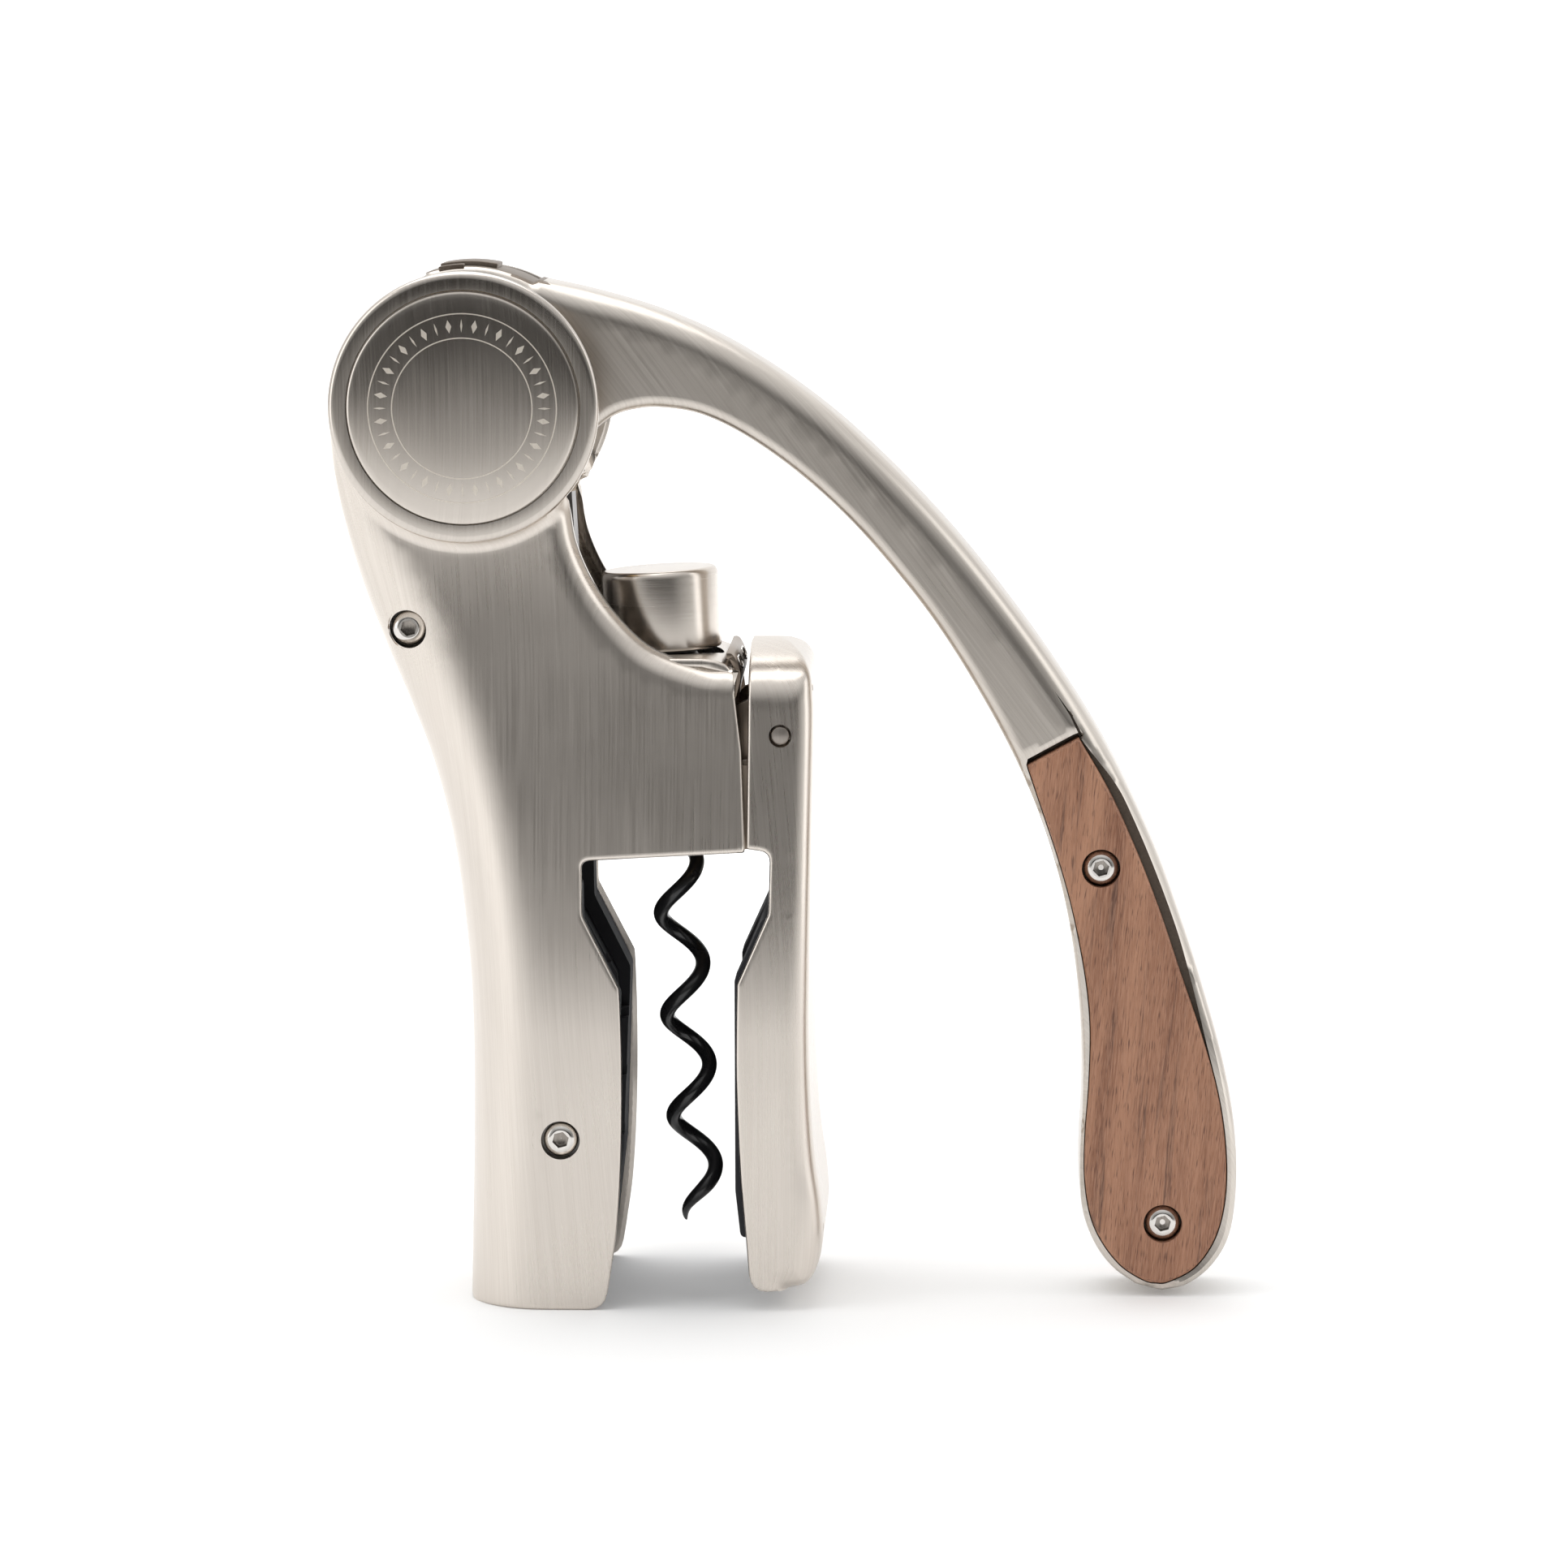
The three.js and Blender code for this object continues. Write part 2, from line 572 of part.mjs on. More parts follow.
function gripOutline() {
  const s = new THREE.Shape();
  s.moveTo(-5.7, GRIP_TOP);
  s.lineTo(-5.3, 108);
  s.lineTo(-5.8, 78);
  s.lineTo(-2.7, 77.5);
  s.lineTo(-1.9, 75.6);
  s.lineTo(-2, 67.3);
  s.lineTo(-7.4, 55.3);
  s.splineThru(points([[-7.5, 38], [-6.8, 24], [-5.6, 10.5]]));
  s.quadraticCurveTo(-4.4, 3.3, -0.6, 2.8);
  s.quadraticCurveTo(20, 2, 20, 20);
  s.lineTo(20, GRIP_TOP);
  return s;
}

function gripShell() {
  const across = new THREE.Shape();
  const shoulder = GRIP_TOP - 8.3;
  const half = halfAt(shoulder);
  const low = LEG_HALF + 1;
  across.moveTo(-low, -5);
  across.lineTo(low, -5);
  across.lineTo(low, shoulder);
  across.lineTo(half, shoulder);
  across.quadraticCurveTo(half - 0.2, GRIP_TOP, half - 8, GRIP_TOP);
  across.lineTo(-half + 8, GRIP_TOP);
  across.quadraticCurveTo(-half + 0.2, GRIP_TOP, -half, shoulder);
  across.lineTo(-low, shoulder);
  const dome = new THREE.ExtrudeGeometry(across, { depth: 60, bevelEnabled: false, curveSegments: 5 });
  dome.rotateX(Math.PI / 2);
  dome.rotateZ(Math.PI / 2);
  dome.translate(-30, 0, 0);
  return channel(gripBack, 1, GRIP_CORNER, 0, -1, 116, 9, 30)
    .intersect(solid(dome))
    .subtract(channel(gripBack, 1, GRIP_CORNER, GRIP_WALL, -2, GRIP_TOP - 4, 9, 31))
    .intersect(prism(gripOutline(), -30, 30))
    .subtract(rod(PIN.x, PIN.z, PIN_BORE, -30, 30));
}

function gripLiner() {
  const s = new THREE.Shape();
  s.moveTo(-6.9, 12);
  s.lineTo(2.6, 12);
  s.lineTo(1.6, 40);
  s.lineTo(1.9, 66);
  s.lineTo(-3.2, 66);
  s.lineTo(-7.9, 55.6);
  s.lineTo(-7.8, 20);
  let piece = prism(s, -19.9, 19.9).subtract(driveRod(WORM_OFFSET, NECK_R, -160, -60, 28));
  for (let z = -132; z < -92; z += 10) {
    piece = piece.subtract(driveRod(WORM_OFFSET, NECK_R + 1.2, z, z + 1.6, 28));
  }
  return piece;
}

function gripPin() {
  const y = halfAt(PIN.z) - 0.5;
  return turned([[0, -y], [1.2, -y], [1.55, -y + 0.4], [1.55, y - 0.4], [1.2, y], [0, y]], PIN.x, PIN.z, 20);
}

// Bracket between the body and the grip: knuckles for the hinge pin and a raised slotted lip.
function hingeBracket() {
  const s = new THREE.Shape();
  s.moveTo(-10.2, 107.4);
  s.lineTo(-8.4, 107.4);
  s.lineTo(-8.4, 93.6);
  s.lineTo(-8.6, 91);
  s.lineTo(-1.6, 93.4);
  s.absarc(PIN.x, PIN.z, 3.3, -1.9, 1.9, false);
  s.lineTo(-6, 103.6);
  s.quadraticCurveTo(-6.4, 104.6, -6.9, 106.8);
  s.quadraticCurveTo(-7.5, 108.4, -8.7, 110.7);
  s.quadraticCurveTo(-9.6, 111.6, -10.2, 109);
  const plate = prism(s, -14.5, 14.5, { curve: 6 });
  const window = box(-8.3, 4, -4.6, 4.6, 90, 103.4);
  const slots = box(-12, 0, -10.5, -4.5, 108, 109.4).add(box(-12, 0, 4.5, 10.5, 108, 109.4));
  return plate.subtract(window).subtract(slots).subtract(rod(PIN.x, PIN.z, PIN_BORE, -30, 30));
}

class CoilPath extends THREE.Curve {
  getPoint(t, target = new THREE.Vector3()) {
    const turn = t * 2 * Math.PI * COIL_TURNS;
    const y = THREE.MathUtils.lerp(-COIL_HALF, COIL_HALF, t);
    return target.set(PIN.x + COIL_R * Math.cos(turn), y, PIN.z + COIL_R * Math.sin(turn));
  }
}

function gripSpring() {
  const wire = new THREE.Shape();
  wire.absarc(0, 0, 0.4, 0, 2 * Math.PI, false);
  return solid(new THREE.ExtrudeGeometry(wire, { steps: 47, curveSegments: 3, extrudePath: new CoilPath() }));
}

function mainAxle() {
  const y = HEAD_HALF + 2.2;
  return turned([[0, -y], [3.6, -y], [4, -y + 0.4], [4, y - 0.4], [3.6, y], [0, y]], HUB.x, HUB.z, 32);
}

const group = new THREE.Group();
function piece(name, manifold, material) {
  const mesh = new THREE.Mesh(geometryOf(manifold.translate([-MIDDLE, 0, 0])), material);
  mesh.name = name;
  group.add(mesh);
}

piece('body_shell_near', bodyHalf(-1), nickel);
piece('body_shell_far', bodyHalf(1), nickel);
for (const [word, side] of [['near', -1], ['far', 1]]) {
  piece(`pivot_ring_${word}`, pivotRing(side), polished);
  piece(`pivot_cap_${word}`, pivotCap(side), nickel);
  piece(`hub_bush_${word}`, hubBush(side), brass);
  piece(`leg_liner_${word}`, legLiner(side), liner);
  piece(`wood_scale_${word}`, woodScale(side), walnut);
}
piece('main_axle', mainAxle(), darkSteel);
piece('guide_block', guideBlock(), liner);
piece('worm_guide_bush', guideBush(), brass);
piece('hinge_bracket', hingeBracket(), darkSteel);
for (const [i, word] of ['upper', 'lower'].entries()) {
  const at = BODY_SCREWS[i];
  const face = at.head;
  piece(`body_sleeve_${word}`, spacerSleeve(at), darkSteel);
  piece(`body_screw_${word}`, buttonScrew(at.x, at.z, -face, face + 4, 2.9, 1.7, 1.5), polished);
  piece(`body_nut_${word}`, sleeveNut(at.x, at.z, face, face - 0.6, 2.9, 1.7, 2.4, 1.8), polished);
  const hole = HANDLE_SCREWS[i];
  piece(`handle_screw_${word}`, buttonScrew(hole.x, hole.z, -8.9, 12.5, 2.85, 1.7, 1.4), polished);
  piece(`handle_nut_${word}`, sleeveNut(hole.x, hole.z, 8.9, 12, 2.85, 1.7, 2.3, 1.7), polished);
}
piece('lever_frame', leverFrame(), leverSteel);
piece('pinion', pinion(), darkSteel);
piece('rack', rack(), darkSteel);
piece('carriage_barrel', carriageBarrel(), darkSteel);
piece('carriage_cap', carriageCap(), nickel);
piece('worm_collar', wormCollar(), darkSteel);
piece('worm', worm(), coated);
piece('grip_shell', gripShell(), nickel);
piece('grip_liner', gripLiner(), liner);
piece('grip_pin', gripPin(), darkSteel);
piece('grip_spring', gripSpring(), darkSteel);

export default group;
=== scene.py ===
"""Lever corkscrew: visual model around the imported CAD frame. Metres, +X to the lever tip, -Y near."""

import json
import math

import bmesh
import bpy
import numpy as np
from mathutils import Matrix, Vector
from mathutils.geometry import delaunay_2d_cdt

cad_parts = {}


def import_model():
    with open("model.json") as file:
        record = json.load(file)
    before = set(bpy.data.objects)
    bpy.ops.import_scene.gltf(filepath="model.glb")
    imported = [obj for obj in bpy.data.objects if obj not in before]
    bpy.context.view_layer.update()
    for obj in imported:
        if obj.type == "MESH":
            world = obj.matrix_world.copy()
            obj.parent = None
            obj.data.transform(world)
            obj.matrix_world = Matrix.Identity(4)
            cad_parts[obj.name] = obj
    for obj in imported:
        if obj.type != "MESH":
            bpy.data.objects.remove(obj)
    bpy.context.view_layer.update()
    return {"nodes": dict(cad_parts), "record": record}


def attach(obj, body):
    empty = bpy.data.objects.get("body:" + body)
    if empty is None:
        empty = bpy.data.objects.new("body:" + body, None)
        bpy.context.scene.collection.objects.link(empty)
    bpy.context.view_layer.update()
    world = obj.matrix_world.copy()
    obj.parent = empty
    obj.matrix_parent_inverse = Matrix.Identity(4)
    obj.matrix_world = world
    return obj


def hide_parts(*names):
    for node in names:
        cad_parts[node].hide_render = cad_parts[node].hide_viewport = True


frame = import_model()
MM = 0.001

# Sizes, from the frame, in millimetres.


def joint(name):
    return next(j for j in frame["record"]["behaviour"]["joints"] if j["name"] == name)


HUB = np.array(joint("lever_swing")["pos_m"])[[0, 2]] / MM
PIN = np.array(joint("grip_swing")["pos_m"])[[0, 2]] / MM
SLIDE = np.array(joint("carriage_slide")["axis"])
TILT = math.atan2(-SLIDE[0], SLIDE[2])
WORM_BASE = np.array(joint("worm_turn")["pos_m"])[[0, 2]] / MM
WORM_OFFSET = float(np.hypot(*(WORM_BASE - HUB)))
MIDDLE = -52.7 - HUB[0]  # from the drawing's X to the frame's

HEAD_R = 22.4
LEG_HALF, HEAD_HALF = 23.0, 17.8
FLARE_LOW, FLARE_HIGH = 46.0, 127.0
WALL = 1.7
SHEET = 1.5  # thickness of the metal that the shells are drawn with
EDGE = 0.6  # rounding of the sheet metal edges
BODY_CORNER, GRIP_CORNER = 13.0, 3.6
LEVER_HALF = 9.0
SCALE_FLOOR = 4.6
FORK_HALF = 5.4  # half width of the slot in the lever's root
PINION_CLEAR_R = 16.6
CAP_SEAT = 2.62  # the cap's foot, out from the head's face
WELL_R, WELL_DEPTH = 3.25, 3.4  # recess round a screw head
NECK_R = 15.2
BODY_SCREWS = [(-62.5, 113.9, 14.0), (-36.9, 28.9, 22.6)]
HANDLE_SCREWS = [(53.3, 73.2), (64.1, 12.6)]
SLOT_Z, SLOT_HALF = 131.0, 9.9  # above this height the back is open for the lever


def smoothstep(x, low, high):
    t = np.clip((np.asarray(x, float) - low) / (high - low), 0, 1)
    return t * t * (3 - 2 * t)


def rounding(radius, away):
    """How much a rounded edge takes off at a distance from it."""
    return radius - np.sqrt(np.maximum(radius**2 - np.maximum(radius - away, 0) ** 2, 0))


def side_word(side):
    return "near" if side < 0 else "far"


def thinning(z):
    return 1 - (1 - HEAD_HALF / LEG_HALF) * smoothstep(z, FLARE_LOW, FLARE_HIGH)


# Curves and outlines.


def spline(points, per_span=10):
    """An open Catmull-Rom curve through the points."""
    p = np.array(points, float)
    p = np.vstack([2 * p[0] - p[1], p, 2 * p[-1] - p[-2]])
    t = np.linspace(0, 1, per_span, endpoint=False)[:, None]
    out = []
    for i in range(1, len(p) - 2):
        a, b, c, d = p[i - 1 : i + 3]
        square, cube = 2 * a - 5 * b + 4 * c - d, 3 * b - a - 3 * c + d
        out.append(0.5 * (2 * b + (c - a) * t + square * t**2 + cube * t**3))
    return np.vstack([*out, p[-2]])


def arc(centre, radius, start, end, count):
    t = np.radians(np.linspace(start, end, count))
    return np.stack([centre[0] + radius * np.cos(t), centre[1] + radius * np.sin(t)], 1)


def circle(centre, radius, count):
    return arc(centre, radius, 0, 360 - 360 / count, count)


def rounded(points, radius, count=5):
    """A closed polygon with each corner rounded; radius is one number or one for each corner."""
    p = np.array(points, float)
    radii = np.broadcast_to(radius, len(p))
    out = []
    for i, r in enumerate(radii):
        a, b, c = p[i - 1], p[i], p[(i + 1) % len(p)]
        u, v = (a - b) / np.linalg.norm(a - b), (c - b) / np.linalg.norm(c - b)
        half = math.acos(float(np.clip(u @ v, -1, 1))) / 2
        if r <= 0 or half > 1.5:
            out.append(b)
            continue
        reach = min(r / math.tan(half), 0.49 * np.linalg.norm(a - b), 0.49 * np.linalg.norm(c - b))
        start, end = b + u * reach, b + v * reach
        for t in np.linspace(0, 1, count):
            out.append((1 - t) ** 2 * start + 2 * t * (1 - t) * b + t**2 * end)
    return np.array(out)


def resample(points, step):
    """Points along a closed polyline, about a step apart, that keep its sharp corners."""
    p = np.array(points, float)
    out = []
    for a, b in zip(p, np.roll(p, -1, 0), strict=True):
        n = max(1, int(math.ceil(np.linalg.norm(b - a) / step)))
        out.extend(a + (b - a) * k / n for k in range(n))
    out = np.array(out)
    keep = np.ones(len(out), bool)
    last = out[0]
    for i in range(1, len(out)):
        if np.linalg.norm(out[i] - last) < step * 0.3:
            keep[i] = False
        else:
            last = out[i]
    return out[keep]


def distance(points, line, closed=True):
    """Distance from each point to the polyline, taken in batches to bound the memory."""
    batch = 4000
    a = np.array(line, float)
    b = np.roll(a, -1, 0) if closed else a[1:]
    a = a if closed else a[:-1]
    ab = b - a
    best = np.full(len(points), 1e9)
    for start in range(0, len(points), batch):
        ap = points[start : start + batch][:, None, :] - a[None]
        t = np.clip((ap * ab[None]).sum(2) / np.maximum((ab**2).sum(1), 1e-12)[None], 0, 1)
        best[start : start + batch] = np.linalg.norm(ap - t[..., None] * ab[None], axis=2).min(1)
    return best


def inside(points, line):
    x, z = points[:, 0], points[:, 1]
    a, b = np.array(line), np.roll(np.array(line), -1, 0)
    hit = np.zeros(len(points), bool)
    for (x0, z0), (x1, z1) in zip(a, b, strict=True):
        cross = (z0 > z) != (z1 > z)
        with np.errstate(divide="ignore", invalid="ignore"):
            at = x0 + (z - z0) * (x1 - x0) / (z1 - z0)
        hit ^= cross & (x < at)
    return hit


def inward(line):
    """Unit normals that point into a counter-clockwise outline."""
    p = np.array(line)
    along = np.roll(p, -1, 0) - np.roll(p, 1, 0)
    along /= np.maximum(np.linalg.norm(along, axis=1), 1e-9)[:, None]
    return np.stack([-along[:, 1], along[:, 0]], 1)


def area(line):
    x, z = np.array(line).T
    return 0.5 * float(np.sum(x * np.roll(z, -1) - np.roll(x, -1) * z))


def anticlockwise(line):
    return line if area(line) > 0 else line[::-1]


# Meshes.


def mesh_of(name, verts, faces, dissolve=True):
    """A welded mesh from millimetre vertices, with its faces turned outward."""
    mesh = bpy.data.meshes.new(name)
    points = [tuple(v) for v in np.asarray(verts, float) * MM]
    mesh.from_pydata(points, [], [tuple(map(int, f)) for f in faces])
    bm = bmesh.new()
    bm.from_mesh(mesh)
    bmesh.ops.remove_doubles(bm, verts=bm.verts, dist=0.002 * MM)
    if dissolve:
        bmesh.ops.dissolve_degenerate(bm, edges=bm.edges, dist=1e-7)
    bmesh.ops.recalc_face_normals(bm, faces=bm.faces)
    bm.to_mesh(mesh)
    bm.free()
    return mesh


def linked(name, data):
    obj = bpy.data.objects.new(name, data)
    bpy.context.scene.collection.objects.link(obj)
    return obj


def new_object(name, verts, faces, material, body, smooth=40):
    """A piece that rides on a body, from millimetre vertices, shaded smooth."""
    mesh = mesh_of(name, verts, faces)
    mesh.validate()
    mesh.materials.append(material)
    shade(mesh, smooth)
    obj = linked(name, mesh)
    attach(obj, body)
    return obj


def shade(mesh, angle):
    mesh.polygons.foreach_set("use_smooth", [True] * len(mesh.polygons))
    mesh.set_sharp_from_angle(angle=math.radians(angle))
    mesh.update()


def sheet_of(outline, rows, grid, holes=(), rings=(), hole_rows=()):
    """Triangles that fill an outline with holes: dense rows near the edges and an even grid elsewhere."""
    edge = resample(outline, grid * 0.42)
    loops = [edge] + [np.array(h) for h in holes]
    extra = []
    normals = inward(edge)
    for d in rows:
        p = edge + normals * d
        far = distance(p, edge)
        extra.append(p[far > d * 0.93])
    low, high = edge.min(0), edge.max(0)
    xs = np.arange(low[0], high[0] + grid, grid)
    zs = np.arange(low[1], high[1] + grid, grid * 0.866)
    gx, gz = np.meshgrid(xs, zs)
    gx[1::2] += grid / 2
    plain = np.stack([gx.ravel(), gz.ravel()], 1)
    deepest = max(rows, default=0)
    far = distance(plain, edge)
    plain = plain[inside(plain, edge) & (far > deepest + grid * 0.4)]
    for centre, radii, count in rings:
        around = np.vstack([circle(centre, r, count) for r in radii])
        out = np.linalg.norm(plain - centre, axis=1)
        plain = plain[(out > max(radii) + grid * 0.4) | (out < min(radii) - grid * 0.4)]
        far = distance(around, edge)
        extra.append(around[inside(around, edge) & (far > deepest + 0.15)])
    for h in loops[1:] if len(hole_rows) else ():
        around = anticlockwise(h)
        away = distance(plain, around)
        plain = plain[away > max(hole_rows) + grid * 0.35]
        for i, e in enumerate(extra):
            away = distance(e, around)
            extra[i] = e[away > (0.5 if i < len(rows) else max(hole_rows) * 0.6)]
        normals = inward(around)
        for d in hole_rows:
            p = around - normals * d
            far = distance(p, around)
            near = distance(p, edge)
            extra.append(p[(far > d * 0.93) & inside(p, edge) & (near > deepest + 0.3)])
    inner = np.vstack([plain] + [e for e in extra if len(e)])
    for h in loops[1:]:
        far = distance(inner, h)
        inner = inner[~inside(inner, h) & (far > 0.12)]
    verts = np.vstack(loops + [inner])
    edges = []
    at = 0
    for loop in loops:
        n = len(loop)
        edges += [(at + i, at + (i + 1) % n) for i in range(n)]
        at += n
    got = delaunay_2d_cdt([Vector(v) for v in verts], edges, [], 0, 1e-5)
    points = np.array([tuple(v) for v in got[0]])
    faces = np.array([f for f in got[2] if len(f) == 3])
    middle = points[faces].mean(1)
    keep = inside(middle, edge)
    for h in loops[1:]:
        keep &= ~inside(middle, h)
    faces = faces[keep]
    a, b, c = (points[faces[:, k]] for k in range(3))
    turn = (b[:, 0] - a[:, 0]) * (c[:, 1] - a[:, 1]) - (b[:, 1] - a[:, 1]) * (c[:, 0] - a[:, 0])
    faces[turn < 0] = faces[turn < 0][:, ::-1]
    return points, faces, loops


def fillet_rows(radius, count):
    return [radius * (1 - math.cos(math.radians(a))) for a in np.linspace(0, 90, count + 1)[1:]]


def border(faces):
    """Open edges of a triangle sheet, in order of travel."""
    seen = {}
    for f in faces:
        for a, b in ((f[0], f[1]), (f[1], f[2]), (f[2], f[0])):
            if (b, a) in seen:
                del seen[(b, a)]
            else:
                seen[(a, b)] = True
    return list(seen)


def both_sides(faces, count):
    """A sheet's faces, and the same turned over on a copy of its vertices."""
    return [tuple(f) for f in faces] + [(f[2] + count, f[1] + count, f[0] + count) for f in faces]


def band(a, b, n):
    """Triangles between a loop of n vertices that starts at a and one that starts at b."""
    out = []
    for i in range(n):
        j = (i + 1) % n
        out += [(a + i, a + j, b + j), (a + i, b + j, b + i)]
    return out


def quads(rows, sides):
    """Faces between closed rows of points, each row after the one before."""
    out = []
    for i in range(rows - 1):
        for j in range(sides):
            k = (j + 1) % sides
            out.append((i * sides + j, i * sides + k, (i + 1) * sides + k, (i + 1) * sides + j))
    return out


def prism(outline, low, high, axis=1):
    """Vertices and faces of a flat outline that is carried along one axis."""
    p = anticlockwise(np.array(outline, float))
    n = len(p)
    verts = np.vstack([np.insert(p, axis, at, axis=1) for at in (low, high)])
    return verts, [tuple(range(n)), tuple(range(2 * n - 1, n - 1, -1))] + quads(2, n)


def placed(verts, place):
    return (np.c_[verts, np.ones(len(verts))] @ np.array(place).T)[:, :3]


def thicken(verts, faces, thickness):
    """A closed wall from an open sheet; the second skin lies inward of the sheet's normals."""
    verts = np.asarray(verts, float)
    faces = np.asarray(faces)
    normal = np.zeros_like(verts)
    cross = np.cross(verts[faces[:, 1]] - verts[faces[:, 0]], verts[faces[:, 2]] - verts[faces[:, 0]])
    for k in range(3):
        np.add.at(normal, faces[:, k], cross)
    normal /= np.maximum(np.linalg.norm(normal, axis=1), 1e-12)[:, None]
    n = len(verts)
    both = np.vstack([verts, verts - normal * thickness])
    skin = both_sides(faces, n)
    for a, b in border(faces):
        skin += [(b, a, a + n), (b, a + n, b + n)]
    return both, skin


def turned(name, profile, place, material, body, sides=64, smooth=35):
    """A piece turned about its own Z from (radius, height) points, put in place by a 4x4 matrix."""
    t = np.linspace(0, 2 * math.pi, sides, endpoint=False)
    verts = np.array([[r * math.cos(a), r * math.sin(a), h] for r, h in profile for a in t])
    return new_object(name, placed(verts, place), quads(len(profile), sides), material, body, smooth)


def across(x, z, y, side):
    """Matrix that puts a turned piece's Z along Y, pointing out of the near (-1) or far (+1) side."""
    m = Matrix.Rotation(math.radians(-90 * side), 4, "X")
    return Matrix.Translation((x, y, z)) @ m


def drive(x=0.0):
    """Matrix of the drive frame: the hub is its origin and Z runs along the worm."""
    hub = Matrix.Translation((HUB[0], 0, HUB[1]))
    return hub @ Matrix.Rotation(-TILT, 4, "Y") @ Matrix.Translation((x, 0, 0))


def swept(name, path, radius, material, body, sides=16, smooth=60):
    """A round wire along a path; radius is one number or one for each point."""
    radius = np.broadcast_to(radius, len(path))
    along = np.gradient(path, axis=0)
    along /= np.linalg.norm(along, axis=1)[:, None]
    up = np.array([0.0, 0.0, 1.0]) if abs(along[0][2]) < 0.9 else np.array([0.0, 1.0, 0.0])
    angles = np.linspace(0, 2 * math.pi, sides, endpoint=False)[:, None]
    verts = []
    for p, t, r in zip(path, along, radius, strict=True):
        side = np.cross(t, up)
        side /= np.linalg.norm(side)
        up = np.cross(side, t)
        verts.append(p + r * (np.cos(angles) * side + np.sin(angles) * up))
    ends = [tuple(range(sides))[::-1], tuple((len(path) - 1) * sides + j for j in range(sides))]
    return new_object(name, np.vstack(verts), quads(len(path), sides) + ends, material, body, smooth)


def solid_of(verts, faces):
    """A helper mesh for cuts; it isn't a piece and is removed after use."""
    return linked("cutter", mesh_of("cutter", verts, faces, dissolve=False))


def prism_cutter(outline, y0, y1):
    return solid_of(*prism(outline, y0, y1))


def moved_cutter(outline, low, high, place):
    """A prism along its own Z, put in place by a matrix."""
    verts, faces = prism(outline, low, high, 2)
    return solid_of(placed(verts, place), faces)


def cut(obj, cutters, smooth=35):
    for cutter in cutters:
        m = obj.modifiers.new("cut", "BOOLEAN")
        m.operation = "DIFFERENCE"
        m.solver = "EXACT"
        m.object = cutter
    apply_modifiers(obj, smooth)
    for cutter in cutters:
        bpy.data.objects.remove(cutter)


def apply_modifiers(obj, smooth):
    bpy.context.view_layer.update()
    got = obj.evaluated_get(bpy.context.evaluated_depsgraph_get())
    mesh = bpy.data.meshes.new_from_object(got)
    obj.modifiers.clear()
    obj.data = mesh
    shade(mesh, smooth)


# Materials.


def nodes_of(name):
    m = bpy.data.materials.new(name)
    m.use_nodes = True
    tree = m.node_tree
    return m, tree, tree.nodes["Principled BSDF"]


def feed(tree, node, inputs):
    """Links sockets to a node's inputs, and sets constants on the inputs themselves."""
    for key, value in inputs.items():
        if isinstance(value, bpy.types.NodeSocket):
            tree.links.new(value, node.inputs[key])
        else:
            node.inputs[key].default_value = value


def add(tree, kind, inputs=None, **settings):
    node = tree.nodes.new(kind)
    for key, value in settings.items():
        setattr(node, key, value)
    feed(tree, node, inputs or {})
    return node


def maths(tree, operation, *values):
    return add(tree, "ShaderNodeMath", dict(enumerate(values)), operation=operation).outputs[0]


def ramp(tree, source, low, high, a, b):
    """The source, from low to high, turned into a to b, which are numbers."""
    inputs = {"Value": source, "From Min": low, "From Max": high, "To Min": a, "To Max": b}
    return add(tree, "ShaderNodeMapRange", inputs).outputs["Result"]


def mixed(tree, factor, a, b):
    node = add(tree, "ShaderNodeMix", data_type="RGBA")
    colours = [i for i, socket in enumerate(node.inputs) if socket.type == "RGBA"]
    values = [value if isinstance(value, bpy.types.NodeSocket) else (*value, 1) for value in (a, b)]
    feed(tree, node, {"Factor": factor, **dict(zip(colours, values, strict=True))})
    return next(socket for socket in node.outputs if socket.type == "RGBA")


def noise(tree, vector, scale, detail=3.0, roughness=0.5, distortion=0.0):
    inputs = {"Vector": vector, "Scale": scale, "Detail": detail}
    inputs |= {"Roughness": roughness, "Distortion": distortion}
    return add(tree, "ShaderNodeTexNoise", inputs).outputs["Fac"]


def coordinates(tree, turn=(0, 0, 0), scale=(1, 1, 1), shift=(0, 0, 0)):
    """Object coordinates that are turned first and stretched after, so that a grain can lean."""
    vector = add(tree, "ShaderNodeTexCoord").outputs["Object"]
    for key, value, plain in (("Rotation", turn, 0), ("Scale", scale, 1), ("Location", shift, 0)):
        if any(v != plain for v in value):
            vector = add(tree, "ShaderNodeMapping", {key: value, "Vector": vector}).outputs["Vector"]
    return vector


def side_coordinates(tree, lean, stretch, fold, shift=(0, 0, 0)):
    """Coordinates over the side of the tool; fold adds the distance from the middle plane to X."""
    leant = coordinates(tree, (0, math.radians(lean), 0))
    split = add(tree, "ShaderNodeSeparateXYZ", {"Vector": leant}).outputs
    x = maths(tree, "MULTIPLY_ADD", maths(tree, "ABSOLUTE", split["Y"]), fold, split["X"])
    joined = add(tree, "ShaderNodeCombineXYZ", {"X": x, "Z": split["Z"]}).outputs[0]
    inputs = {"Scale": stretch, "Location": shift, "Vector": joined}
    return add(tree, "ShaderNodeMapping", inputs).outputs["Vector"]


def bump(tree, height, strength, distance_mm):
    inputs = {"Strength": strength, "Distance": distance_mm * MM, "Height": height}
    return add(tree, "ShaderNodeBump", inputs).outputs["Normal"]


